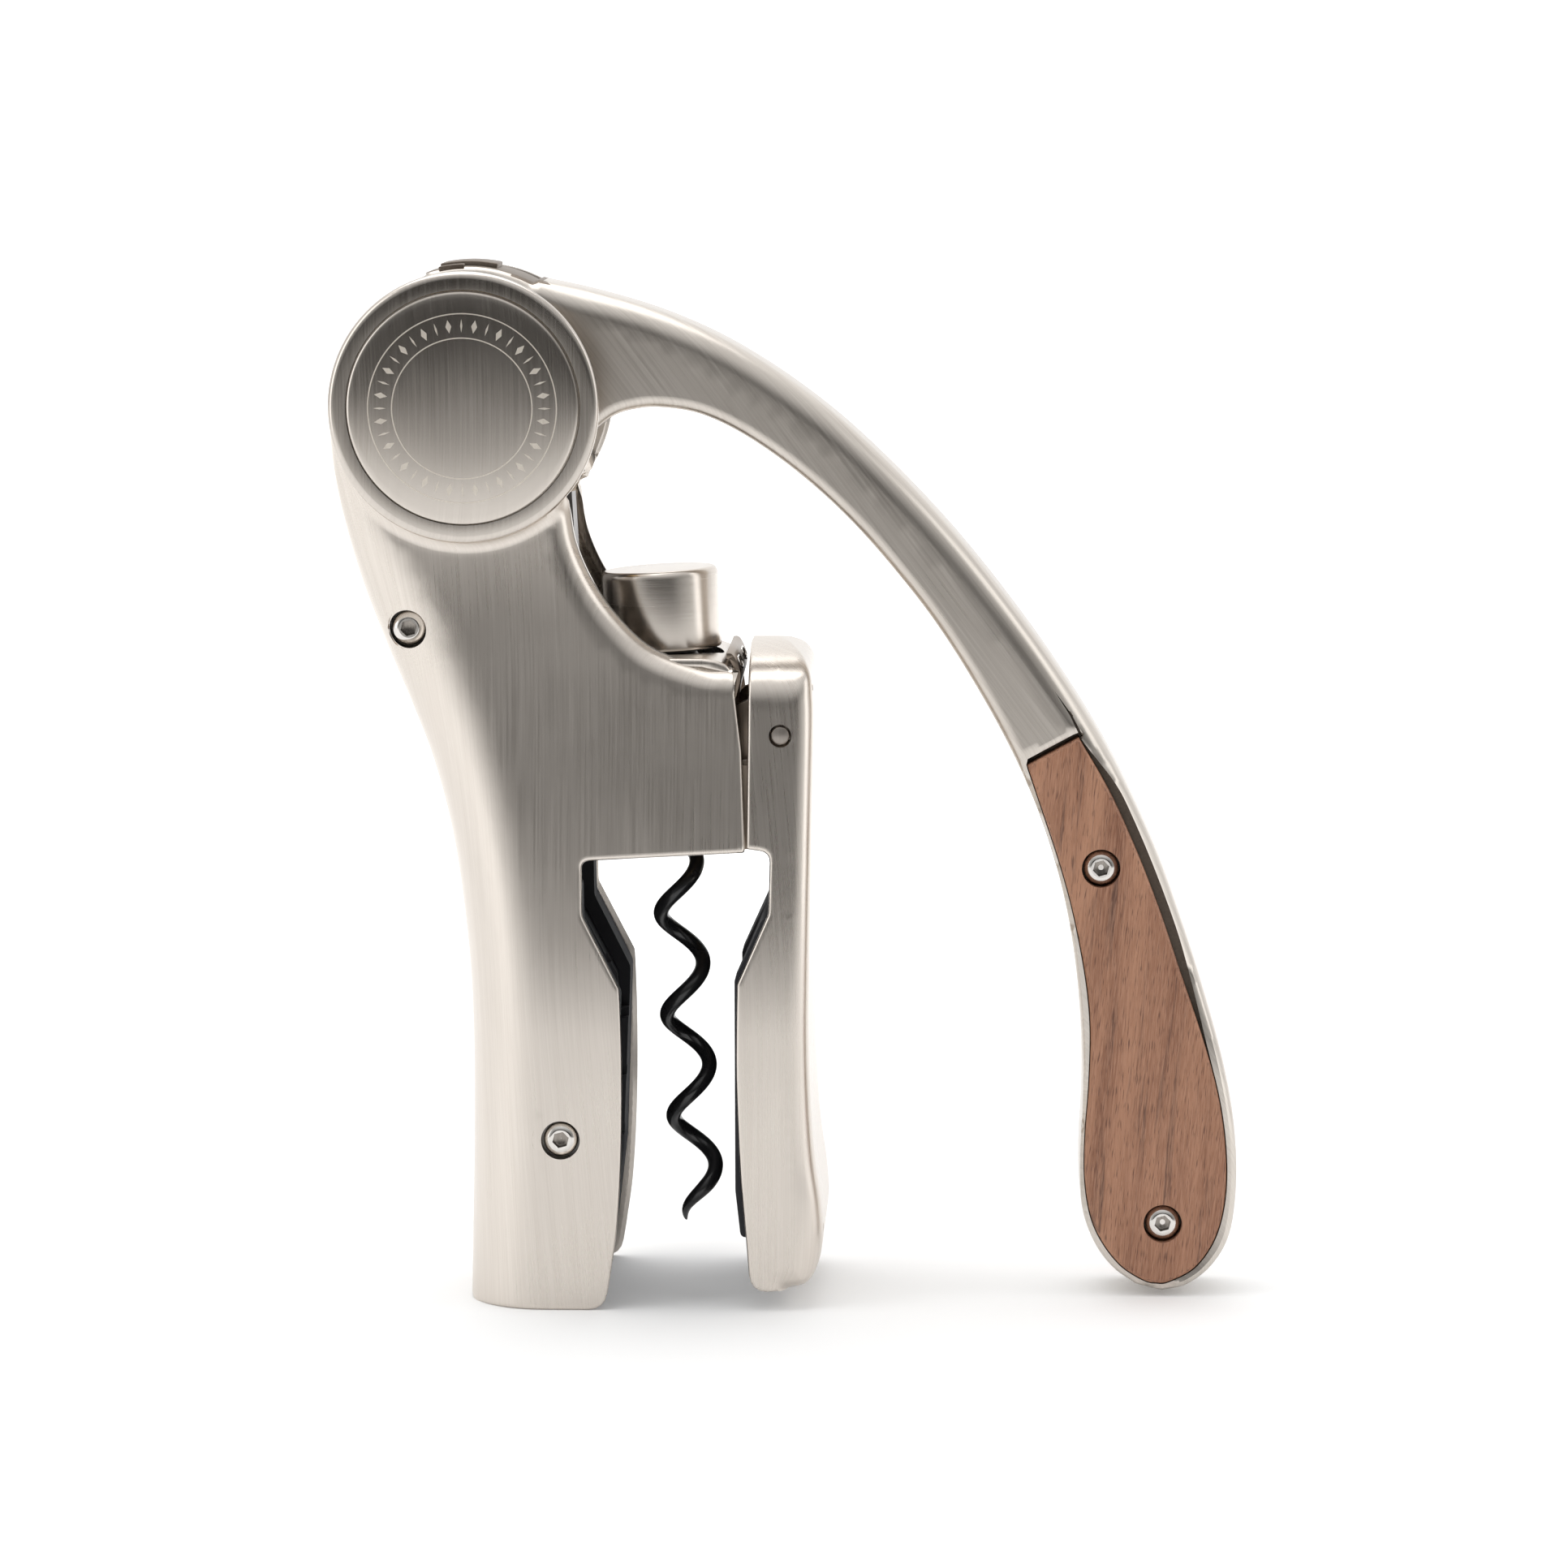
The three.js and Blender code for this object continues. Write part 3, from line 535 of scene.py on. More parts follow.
def brushed(
    name, dark, light, rough, lean=0.0, stretch=(1.0, 1.0, 0.012), grain=3600, depth=0.012, fold=-1.0
):
    """Brushed nickel: fine streaks along the brushing, broad soft smudges and uneven shine."""
    m, tree, shader = nodes_of(name)
    fine = noise(tree, side_coordinates(tree, lean, stretch, fold), grain, 2, 0.45)
    hair = noise(tree, side_coordinates(tree, lean, stretch, fold, (0.4, 0.2, 0.6)), grain * 2.4, 1, 0.4)
    wide = noise(tree, side_coordinates(tree, lean, stretch, fold), grain * 0.2, 2, 0.5)
    cloud = noise(tree, coordinates(tree), 38, 3, 0.5)
    parts = ((fine, 0.5), (wide, 0.25), (hair, 0.2))
    shares = [ramp(tree, source, 0.2, 0.8, 0, part) for source, part in parts]
    streaks = maths(tree, "ADD", maths(tree, "ADD", shares[0], shares[1]), shares[2])
    colour = mixed(tree, streaks, dark, light)
    colour = mixed(tree, ramp(tree, cloud, 0.35, 0.75, 0, 0.3), colour, tuple(c * 0.92 for c in light))
    uneven = ramp(tree, fine, 0.2, 0.8, rough - 0.03, rough + 0.03)
    uneven = maths(tree, "ADD", uneven, ramp(tree, cloud, 0.3, 0.7, -0.02, 0.03))
    relief = bump(tree, fine, depth, 0.012)
    feed(tree, shader, {"Base Color": colour, "Roughness": uneven, "Metallic": 1.0, "Normal": relief})
    return m


def turned_metal(name, dark, light, rough, axis_turn, grain=3200):
    """Metal turned on a lathe: fine rings round the axis."""
    m, tree, shader = nodes_of(name)
    inputs = {"Vector": coordinates(tree, axis_turn), "Scale": grain * 0.12, "Distortion": 0.6, "Detail": 2}
    rings = add(tree, "ShaderNodeTexWave", inputs, wave_type="RINGS", rings_direction="Z").outputs["Fac"]
    colour = mixed(tree, noise(tree, coordinates(tree), 120, 3), dark, light)
    uneven = ramp(tree, rings, 0, 1, rough - 0.06, rough + 0.08)
    relief = bump(tree, rings, 0.25, 0.01)
    feed(tree, shader, {"Base Color": colour, "Roughness": uneven, "Metallic": 1.0, "Normal": relief})
    return m


def walnut_wood(name):
    """Walnut with long darker growth bands, thin dark lines, fine open pores and a light oil shine."""
    m, tree, shader = nodes_of(name)

    def grain(length, shift, *settings):
        return noise(tree, coordinates(tree, (0, math.radians(-5), 0), (1, 1, length), shift), *settings)

    bands = grain(0.07, (0.31, 0.1, 0.0), 230, 4, 0.55, 0.5)
    broad = grain(0.2, (0.1, 0.4, 0.2), 70, 3, 0.5)
    lines = grain(0.04, (0.7, 0.1, 0.3), 520, 3, 0.6, 0.8)
    fibres = grain(0.06, (0.02, 0.03, 0.01), 4200, 3, 0.6)
    pores = grain(0.07, (0.5, 0.2, 0.1), 5200, 2, 0.45)
    colour = mixed(tree, ramp(tree, bands, 0.34, 0.66, 0, 1), (0.22, 0.09, 0.047), (0.47, 0.235, 0.138))
    for source, low, high, share, tone in (
        (broad, 0.35, 0.7, 0.45, (0.29, 0.125, 0.07)),
        (lines, 0.59, 0.69, 0.75, (0.085, 0.038, 0.026)),
        (fibres, 0.4, 0.7, 0.5, (0.58, 0.32, 0.21)),
        (pores, 0.57, 0.7, 0.7, (0.075, 0.03, 0.02)),
    ):
        colour = mixed(tree, ramp(tree, source, low, high, 0, share), colour, tone)
    height = maths(tree, "SUBTRACT", ramp(tree, fibres, 0, 1, 0, 0.5), ramp(tree, pores, 0.6, 0.7, 0, 1))
    rough = ramp(tree, fibres, 0.3, 0.7, 0.45, 0.62)
    feed(tree, shader, {"Base Color": colour, "Roughness": rough, "Normal": bump(tree, height, 0.3, 0.04)})
    return m


def plastic(name, colour, rough=0.55, coat=0.0, grain=1500, shine=0.5):
    """Moulded plastic: a fine pebbled skin with faint wear on it."""
    m, tree, shader = nodes_of(name)
    pebble = noise(tree, coordinates(tree), grain, 3)
    cloud = noise(tree, coordinates(tree), 60, 3)
    worn = tuple(min(1, c * 1.35 + 0.01) for c in colour)
    inputs = {
        "Base Color": mixed(tree, ramp(tree, cloud, 0.35, 0.7, 0, 0.6), colour, worn),
        "Roughness": ramp(tree, cloud, 0.3, 0.7, rough - 0.07, rough + 0.07),
        "Coat Weight": coat,
        "Specular IOR Level": shine,
        "Normal": bump(tree, pebble, 0.25, 0.02),
    }
    feed(tree, shader, inputs)
    return m


WARM_DARK, WARM_LIGHT = (0.60, 0.545, 0.49), (0.78, 0.725, 0.665)
NICKEL = brushed("brushed_nickel_body", WARM_DARK, WARM_LIGHT, 0.29, lean=5, fold=1.0)
NICKEL_GRIP = brushed("brushed_nickel_grip", WARM_DARK, WARM_LIGHT, 0.28)
NICKEL_HEAD = brushed("brushed_nickel_head", (0.52, 0.475, 0.43), (0.70, 0.65, 0.595), 0.2)
NICKEL_LEVER = brushed("brushed_nickel_lever", (0.47, 0.425, 0.38), (0.76, 0.71, 0.65), 0.30, lean=37, grain=2600)
NICKEL_CAP = brushed("brushed_nickel_cap", WARM_DARK, WARM_LIGHT, 0.24, stretch=(0.02, 0.02, 1.0), grain=5200)
BRIGHT = brushed("bright_nickel", (0.62, 0.59, 0.56), (0.80, 0.775, 0.74), 0.14, depth=0.06)
# darker copy of the screw metal for the inside of the hex sockets: painted shade in the recess
SOCKET_SHADE = brushed("socket_painted_shade", (0.20, 0.18, 0.16), (0.42, 0.385, 0.35), 0.28, depth=0.2)
PIN_STEEL = brushed("pin_steel", (0.28, 0.25, 0.225), (0.42, 0.385, 0.35), 0.42, depth=0.3)
# dark casting colour for the root block, its lugs and the hub's rim; inside the lever's pockets and slit it is
# painted shade
CASTING_AND_POCKET_SHADE = brushed("raw_casting_and_pocket_shade", (0.12, 0.095, 0.075), (0.27, 0.225, 0.185), 0.45, stretch=(1, 1, 1), grain=2600)
STEEL = brushed("dark_steel", (0.16, 0.15, 0.145), (0.26, 0.25, 0.24), 0.38, depth=0.3)
BRASS_BROWN = brushed("bracket_metal", (0.22, 0.175, 0.14), (0.38, 0.31, 0.25), 0.34, depth=0.25)
BRASS = turned_metal("bush_brass", (0.55, 0.37, 0.15), (0.68, 0.48, 0.22), 0.32, (math.radians(90), 0, 0))
ETCHED = brushed("etched_marks", (0.66, 0.60, 0.52), (0.86, 0.80, 0.72), 0.5, depth=0.1)
LINER = plastic("grey_liner", (0.040, 0.040, 0.044), 0.7, shine=0.04)
HOUSING = plastic("housing_plastic", (0.03, 0.03, 0.033), 0.5)
COATING = plastic("worm_coating", (0.012, 0.012, 0.013), 0.27, coat=0.25, grain=900)
WALNUT = walnut_wood("walnut")


# Body.


def plan(points):
    """Drawing X and Z in the frame's millimetres."""
    return np.array(points, float) - (MIDDLE, 0)


BACK_EDGE = spline(
    [
        (-52.9, 0), (-52.6, 14), (-52.3, 30), (-52.4, 48), (-53.3, 62), (-55.5, 78), (-58.8, 91), (-62.6, 101),
        (-66.8, 111), (-70.3, 120.5), (-73.0, 131), (-74.6, 141), (-75.1, 151),
    ],
    8,
)
TOP_EDGE = spline(
    [
        (-8.7, 107.6), (-13.8, 108.0), (-21.8, 111.0), (-27.4, 116.1), (-31.6, 122.0), (-34.4, 128.6),
        (-35.5, 135.4),
    ],
    8,
)
LEG_EDGE = spline([(-28.6, 6), (-27.4, 15), (-26.7, 28), (-26.6, 42), (-26.9, 53.2)], 8)


def body_outline():
    low = rounded([(-52.7, 9), (-52.9, 0), (-29.6, 0), LEG_EDGE[0], LEG_EDGE[1]], [0, 1.2, 4.2, 0, 0])[1:-1]
    housing = rounded(
        [
            LEG_EDGE[-2], (-27.0, 54.4), (-33.2, 66.6), (-33.3, 75.7), (-6.1, 77.2), (-6.7, 94), (-8.4, 107.9),
            TOP_EDGE[3],
        ],
        [0, 1.6, 2.0, 1.3, 0.5, 0, 0.8, 0],
    )[1:-1]
    head = arc((HUB[0] + MIDDLE, HUB[1]), HEAD_R, -41.5, 179, 110)
    outline = np.vstack([low, LEG_EDGE[1:-1], housing, TOP_EDGE[4:], head, BACK_EDGE[::-1][1:-1]])
    return anticlockwise(plan(outline))


def skin(outline, depth_of, rows, grid, holes, hole_rows, rings, closing, stops):
    """One curved side as an open sheet at -Y. Its wall runs in from the closing line to the stops."""
    columns = 6
    points, faces, loops = sheet_of(outline, rows, grid, holes, rings, hole_rows)
    depth = depth_of(points)
    verts = np.stack([points[:, 0], -depth, points[:, 1]], 1)
    faces = [tuple(f) for f in faces]
    n = len(loops[0])
    far = distance(loops[0], closing, closed=False)
    ends = stops(loops[0])
    used = [0]
    for k in range(1, columns + 1):
        t = k / columns
        y = depth[:n] * (1 - t) + ends * t
        used.append(len(verts))
        verts = np.vstack([verts, np.stack([loops[0][:, 0], -y, loops[0][:, 1]], 1)])
    for i in range(n):
        j = (i + 1) % n
        if max(far[i], far[j]) > 0.35 or max(ends[i], ends[j]) > 90:
            continue
        for a, b in zip(used[:-1], used[1:], strict=True):
            faces += [(b + i, a + j, a + i), (b + i, b + j, a + j)]
    return verts, faces, loops


def body_half(side):
    """One half of the body: rounded back, soft edges, a hollow fillet that rises to the head's ring."""
    outline = body_outline()
    back = plan(BACK_EDGE)
    soft = plan(np.vstack([TOP_EDGE, [(-36.5, 139)]]))
    holes = [circle((x - MIDDLE, z), WELL_R, 36) for x, z, _ in BODY_SCREWS]
    holes.append(circle(HUB, 9.5, 45))
    radii = [21.6, 22.3, 22.45, 22.65, 22.9, 23.2, 23.55, 23.95, 24.4, 25.1, 26.0]
    verts, faces, loops = skin(
        outline,
        lambda p: body_depth(p, outline, back, soft),
        fillet_rows(EDGE, 4) + [1.0, 1.6, 2.2, 2.9, 3.6],
        2.2,
        holes,
        [0.35, 0.8, 1.5, 2.4],
        [(HUB, radii, 150)],
        back,
        lambda p: np.where(p[:, 1] > SLOT_Z, 99, 0.1),
    )
    start = len(loops[0])
    for hole, (_, _, head) in zip(loops[1:3], BODY_SCREWS, strict=True):
        faces += band(start, len(verts), len(hole))
        verts = np.vstack([verts, np.insert(hole, 1, -(head - WELL_DEPTH), axis=1)])
        start += len(hole)
    verts, faces = tidy(verts, faces)
    x, z, _ = BODY_SCREWS[0]
    out = np.linalg.norm(verts[:, [0, 2]] - (x - MIDDLE, z), axis=1)
    verts, faces = thicken(verts, faces, (0.3 + (SHEET - 0.3) * smoothstep(out, 3.5, 7.5))[:, None])
    word = side_word(side)
    obj = new_object(f"body_{word}", verts * (1, -side, 1), faces, NICKEL, "frame_body", 38)
    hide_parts(f"body_shell_{word}")


def tidy(verts, faces):
    """Drops vertices that no face uses."""
    faces = np.array(faces)
    used = np.unique(faces)
    index = np.full(len(verts), -1)
    index[used] = np.arange(len(used))
    return np.asarray(verts)[used], index[faces]


def body_depth(points, outline, back, soft):
    """Half thickness of the body at each point of its side outline."""
    z = points[:, 1]
    to_back = distance(points, back, closed=False)
    corner = BODY_CORNER - (BODY_CORNER - EDGE) * smoothstep(z, 112, 150)
    half = (LEG_HALF - rounding(corner, to_back)) * thinning(z)
    away = distance(points, outline)
    to_soft = distance(points, soft, closed=False)
    by_soft = to_soft < 4.0
    radius = np.where(by_soft, 4.0, EDGE)
    away = np.where(by_soft, to_soft, away)
    away = np.where((to_back < 1.5) & (z < HUB[1]), 99, away)
    half = half - np.minimum(rounding(radius, away), 2.6)
    out = np.linalg.norm(points - HUB, axis=1)
    half = half + np.clip(1 - np.maximum(out - 22.3, 0) / 1.9, 0, 1) ** 2 * 1.1
    return np.where(z > SLOT_Z, np.maximum(half, SLOT_HALF), half)


def ring_and_cap(side):
    word = side_word(side)
    place = across(HUB[0], HUB[1], side * (HEAD_HALF + 0.12), side)
    profile = [
        (9.4, 0), (21.5, 0), (22.0, 0.2), (22.35, 0.6), (22.48, 1.1), (22.4, 1.55), (22.15, 1.88), (21.75, 2.1),
        (21.2, 2.18), (19.45, 2.18), (19.35, 2.08), (19.35, 1.7), (9.4, 1.7), (9.4, 0),
    ]
    ring = turned(f"head_ring_{word}", profile, place, NICKEL_HEAD, "frame_body", 144)
    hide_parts(f"pivot_ring_{word}")
    place = across(HUB[0], HUB[1], side * (HEAD_HALF + CAP_SEAT), side)
    edge = [(0, 0), (18.9, 0), (19.1, 0.08), (19.15, 0.22), (19.08, 0.4), (18.9, 0.5)]
    profile = edge + [(r, crown(r)) for r in (18.7, 18, 17, 16, 14, 12, 10, 8, 6, 4, 2, 0)]
    cap = turned(f"head_cap_{word}", profile, place, NICKEL_HEAD, "frame_body", 144)
    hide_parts(f"pivot_cap_{word}")
    marks(word, side)


def crown(r):
    """Height of the domed cap over its seat."""
    return 1.4 - 0.5 * (r / 18.9) ** 2 - 0.38 * (r / 18.9) ** 4


def marks(word, side):
    """A plain etched ring of strokes on the cap between two thin circles."""
    def y_at(r):
        return HEAD_HALF + CAP_SEAT + crown(r)

    verts, faces = [], []
    for i in range(40):
        t = 2 * math.pi * i / 40
        u, v = np.array([math.cos(t), math.sin(t)]), np.array([-math.sin(t), math.cos(t)])
        w = 0.5 if i % 2 else 0.18
        base = len(verts)
        for lift in (-0.05, 0.03):
            for r, s in ((12.5, 0), (13.6, w), (14.7, 0), (13.6, -w)):
                x, z = HUB + u * r + v * s
                verts.append((x, side * (y_at(r) + lift), z))
        faces += [tuple(base + k for k in f) for f in BOX_FACES]
    for r0, r1 in ((11.5, 11.7), (15.5, 15.7)):
        base, n = len(verts), 120
        for r, lift in ((r0, -0.05), (r1, -0.05), (r1, 0.03), (r0, 0.03)):
            y = side * (y_at(r) + lift)
            verts += [(x, y, z) for x, z in circle(HUB, r, n)]
        for k in range(4):
            for i in range(n):
                j, m = (i + 1) % n, (k + 1) % 4
                faces.append((base + k * n + i, base + k * n + j, base + m * n + j, base + m * n + i))
    obj = new_object(f"cap_marks_{word}", verts, faces, ETCHED, "frame_body", 30)


BOX_FACES = [(0, 1, 2, 3), (7, 6, 5, 4), (0, 4, 5, 1), (1, 5, 6, 2), (2, 6, 7, 3), (3, 7, 4, 0)]


# Lever.

LEVER_OUTER = [
    (64.1, 0.9), (68.4, 2.0), (72.5, 5.3), (75.4, 10.6), (76.5, 19), (76.1, 29), (74.3, 39.5), (71.0, 51.5),
    (67.3, 63), (62.0, 77.2), (54.4, 93), (46.0, 106.6), (37.5, 118.4), (28.5, 129.5), (19.0, 139.6), (9.3, 148.6),
    (-0.7, 156.1), (-11.0, 162.2), (-21.4, 166.6), (-32.0, 169.7), (-41.0, 171.6),
]
LEVER_INNER = [
    (-31.6, 146.6), (-28.4, 149.0), (-24.9, 150.1), (-20.6, 150.4), (-14.0, 149.3), (-6.6, 145.8), (2.0, 139.8),
    (10.4, 132.3), (18.0, 123.9), (25.4, 114.4), (32.4, 103.4), (38.3, 92.6), (42.7, 82.6), (45.8, 73.2),
    (48.0, 63.8), (49.5, 53.4), (50.3, 43), (50.4, 33), (50.0, 24), (50.4, 15.4), (52.5, 9.2), (55.7, 4.8),
    (59.7, 1.9),
]
SCALE_LEFT = [
    (40.8, 90.6), (43.6, 82.4), (46.2, 74.6), (48.3, 67.2), (50.0, 59.4), (51.2, 52), (51.7, 45), (51.5, 36),
    (50.95, 28), (50.9, 20.4), (51.9, 13.9), (54.0, 9.2), (57.2, 5.2), (61.0, 2.8),
]
SCALE_RIGHT = [
    (65.2, 2.6), (69.4, 4.9), (72.6, 9.3), (74.3, 14.9), (74.8, 21.5), (74.2, 29.5), (72.6, 37.6), (69.9, 46.5),
    (66.6, 56), (63.2, 66), (59.2, 76.2), (54.6, 86.2), (49.4, 95.3),
]


def lever_outline():
    outer = spline(LEVER_OUTER, 6)
    inner = spline(LEVER_INNER, 6)
    centre = (HUB[0] + MIDDLE, HUB[1])
    web = arc(centre, 22.9, 62, 108, 40)
    back = arc(centre, 20.2, 110, 350, 80)
    outer = outer[outer[:, 0] > -41.5]
    return anticlockwise(plan(np.vstack([outer, web, back, inner])))


def head_block():
    """Raised block on the lever's root, with a rounded lug on each side of it."""
    centre = tuple(HUB)
    outline = np.vstack([arc(centre, 23.7, 78.3, 101.9, 16), arc(centre, 21.5, 101.9, 78.3, 6)])
    obj = block("root_block", outline, -5.3, 5.3, CASTING_AND_POCKET_SHADE, "lever")
    soften(obj, 0.25)
    outline = np.vstack([arc(centre, 23.3, 91.5, 102.2, 12), arc(centre, 21.5, 102.2, 91.5, 6)])
    for side in (-1, 1):
        name = f"root_lug_{side_word(side)}"
        lug = block(name, rounded(outline, 0.5, 3), side * 5.2, side * 8.7, CASTING_AND_POCKET_SHADE, "lever")
        soften(lug, 0.3)


def scale_outline(grow=0.0, bulge=0.0):
    """Outline of a wood scale, or of its pocket: grown all round and bulged behind the scale."""
    line = anticlockwise(plan(spline(SCALE_LEFT + [(63.1, 2.35)] + SCALE_RIGHT, 6)))
    line = resample(line, 0.6)
    normal = -inward(line)
    z = line[:, 1]
    right = distance(line, plan(spline(SCALE_RIGHT, 6)), closed=False)
    swell = smoothstep(z, 38, 62) * smoothstep(z, 97, 84)
    out = np.where((right < 0.3) & (z > 38), bulge * swell, 0)
    top = np.where((z > 89) & (normal[:, 1] > 0.75), 4.5 * grow, 0)
    return line + normal * (grow + out + top)[:, None]


def pillow(points, outline, half, radius):
    """A flat side with rounded edges; radius is one number or one for each point."""
    return half - rounding(radius, distance(points, outline))


def lever_radius(points):
    """The outer edge is broadly rounded down to the wood and tighter below; the inner edge is tight."""
    outer = distance(points, plan(spline(LEVER_OUTER, 6)), closed=False)
    inner = distance(points, plan(spline(LEVER_INNER, 6)), closed=False)
    broad = 1.5 + 2.7 * smoothstep(points[:, 1], 22, 70)
    broad = 1.2 + (broad - 1.2) * smoothstep(points[:, 0], -52, -34)
    return np.where(outer < inner, broad, 1.7)


def lever():
    outline = lever_outline()
    pocket = scale_outline(0.16, 1.5)
    rows = fillet_rows(1.6, 4) + [2.1, 2.7, 3.4, 4.2]
    points, faces, loops = sheet_of(outline, rows, 2.4, [pocket], (), [0.25, 0.55, 1.0, 1.7])
    depth = pillow(points, outline, LEVER_HALF, lever_radius(points))
    to_hole = distance(points, loops[1])
    depth = depth - np.where(to_hole < 0.5, 0.5 - to_hole, 0) * 0.6
    n, m = len(loops[0]), len(loops[1])
    count = len(points)
    near = np.stack([points[:, 0], -depth, points[:, 1]], 1)
    far = near * (1, -1, 1)
    verts = [near, far]
    faces_all = both_sides(faces, count) + band(0, count, n)
    base = 2 * count
    for side in (-1, 1):
        verts.append(np.insert(loops[1], 1, side * SCALE_FLOOR, axis=1))
        start = n if side < 0 else count + n
        faces_all += band(start, base, m) + [tuple(range(base, base + m))]
        base += m
    obj = new_object("lever", np.vstack(verts), faces_all, NICKEL_LEVER, "lever", 38)
    hub = tuple(HUB)
    over_pinion = arc(hub, PINION_CLEAR_R, 32, 109, 24)
    fork = np.vstack([arc(hub, 27.5, -75, 32, 30), over_pinion, arc(hub, 26, 109, 285, 40)])
    slit = plan([(45.2, 103.3), (47.95, 98.95), (49.7, 95.3), (50.1, 95.6), (48.25, 99.1)])
    cut(
        obj,
        [
            prism_cutter(fork, -FORK_HALF, FORK_HALF),
            prism_cutter(circle(hub, 4.3, 36), -20, 20),
            prism_cutter(slit, -20, -6.5),
            prism_cutter(slit, 6.5, 20),
        ],
    )
    # the faces inside the pockets and the slit get the dark casting colour as painted shade
    pocket_shade_and_raw_rim(obj, pocket, slit)
    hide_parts("lever_frame")


def pocket_shade_and_raw_rim(obj, *pockets):
    """Dark casting colour: painted shade of the deep groove inside the pockets and the slit, and unbrushed casting
    on the rim of the hub.
    """
    mesh = obj.data
    mesh.materials.append(CASTING_AND_POCKET_SHADE)
    centre = np.array([p.center for p in mesh.polygons]) / MM
    normal = np.array([p.normal for p in mesh.polygons])
    flat = centre[:, [0, 2]]
    shade_and_raw = np.zeros(len(flat), bool)
    # inside the pockets and the slit the dark colour is painted shade of the groove
    for pocket in pockets:
        edge = anticlockwise(np.array(pocket))
        within = inside(flat, edge) | (distance(flat, edge) < 0.06)
        shade_and_raw |= within & (np.abs(centre[:, 1]) < LEVER_HALF - 0.45)
    out = np.linalg.norm(flat - HUB, axis=1)
    shade_and_raw |= (out < 24) & (np.abs(normal[:, 1]) < 0.5)
    mesh.polygons.foreach_set("material_index", shade_and_raw.astype(int))
    mesh.update()


def slab(name, outline, depth_of, floor, holes, side, material, body, rows, grid=2.6):
    """A solid between a flat floor and a curved outer face, on the near (-1) or far (+1) side."""
    points, faces, loops = sheet_of(outline, rows, grid, holes)
    count = len(points)
    top = np.stack([points[:, 0], -depth_of(points), points[:, 1]], 1)
    low = np.stack([points[:, 0], np.full(count, -floor), points[:, 1]], 1)
    skin_faces = both_sides(faces, count)
    start = 0
    for loop in loops:
        skin_faces += band(start, count + start, len(loop))
        start += len(loop)
    verts = np.vstack([top, low]) * (1, -side, 1)
    return new_object(name, verts, skin_faces, material, body, 38)


def scale(side):
    word = side_word(side)
    outline = scale_outline()
    holes = [circle((x - MIDDLE, z), WELL_R, 36) for x, z in HANDLE_SCREWS]
    obj = slab(
        f"wood_{word}",
        outline,
        lambda p: pillow(p, outline, LEVER_HALF + 0.25, 0.8),
        SCALE_FLOOR + 0.15,
        holes,
        side,
        WALNUT,
        "lever",
        fillet_rows(0.8, 4),
    )
    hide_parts(f"wood_scale_{word}")


# Screws.


def screw_head(name, x, z, y, side, body, node):
    """A button head with a hexagon socket; y is its outer face."""
    radius, height, skirt = 2.87, 1.75, 0.66
    place = across(x, z, y, side)
    profile = [(0, -height), (radius, -height), (radius, -height * skirt)]
    for a in np.linspace(8, 66, 8):
        t = math.radians(a)
        rise = height * skirt * math.sin(t) / 0.9135
        profile.append((radius * (0.30 + 0.70 * math.cos(t)), -height * skirt + rise))
    profile += [(1.62, 0), (0, 0)]
    head = turned(name, profile, place, BRIGHT, body, 48)
    cut(head, [moved_cutter(arc((0, 0), 1.42, 15, 315, 6), -1.3, 1, place), socket_floor(place)], 30)
    # the faces inside the hex socket get the darker material: painted shade
    head.data.materials.append(SOCKET_SHADE)
    centres = np.array([f.center for f in head.data.polygons], float)
    out = np.linalg.norm(centres[:, [0, 2]] / MM - (x, z), axis=1)
    deep = np.abs(centres[:, 1] / MM - y)
    inner = (out < 1.36) & (deep > 0.02) & (deep < 1.7)
    head.data.polygons.foreach_set("material_index", inner.astype(int))
    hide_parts(node)
    return head


def socket_floor(place):
    """The drill point at the bottom of a socket."""
    verts = np.vstack([np.insert(circle((0, 0), 1.15, 12), 2, -1.2, axis=1), [(0, 0, -1.62)]])
    faces = [tuple(range(12))] + [(i, (i + 1) % 12, 12) for i in range(12)]
    return solid_of(placed(verts, place), faces)


# Worm and carriage.


def worm():
    top, tip, pitch = -75.0, -142.0, 17.5
    z = np.linspace(top, tip, 520)
    turn = (z + 106.4) / pitch * 2 * math.pi + math.pi
    shoulder = smoothstep(z, top - 4, top)
    end = 1 - smoothstep(z, tip, tip + 7)
    reach = 3.3 * (1 - shoulder) * (1 - 0.3 * end)
    wire = 1.3 * np.minimum(1, 0.05 + 0.95 * np.clip((z - tip) / 6.5, 0, 1) ** 0.62)
    path = np.stack([WORM_OFFSET + reach * np.cos(turn), reach * np.sin(turn), z], 1)
    stem = np.stack([np.full(8, WORM_OFFSET), np.zeros(8), np.linspace(-59, top + 0.5, 8)], 1)
    path = np.vstack([stem, path])
    wire = np.concatenate([np.full(8, 1.35), wire])
    obj = swept("worm_visible", placed(path, drive()), wire, COATING, "worm", 20)
    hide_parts("worm")


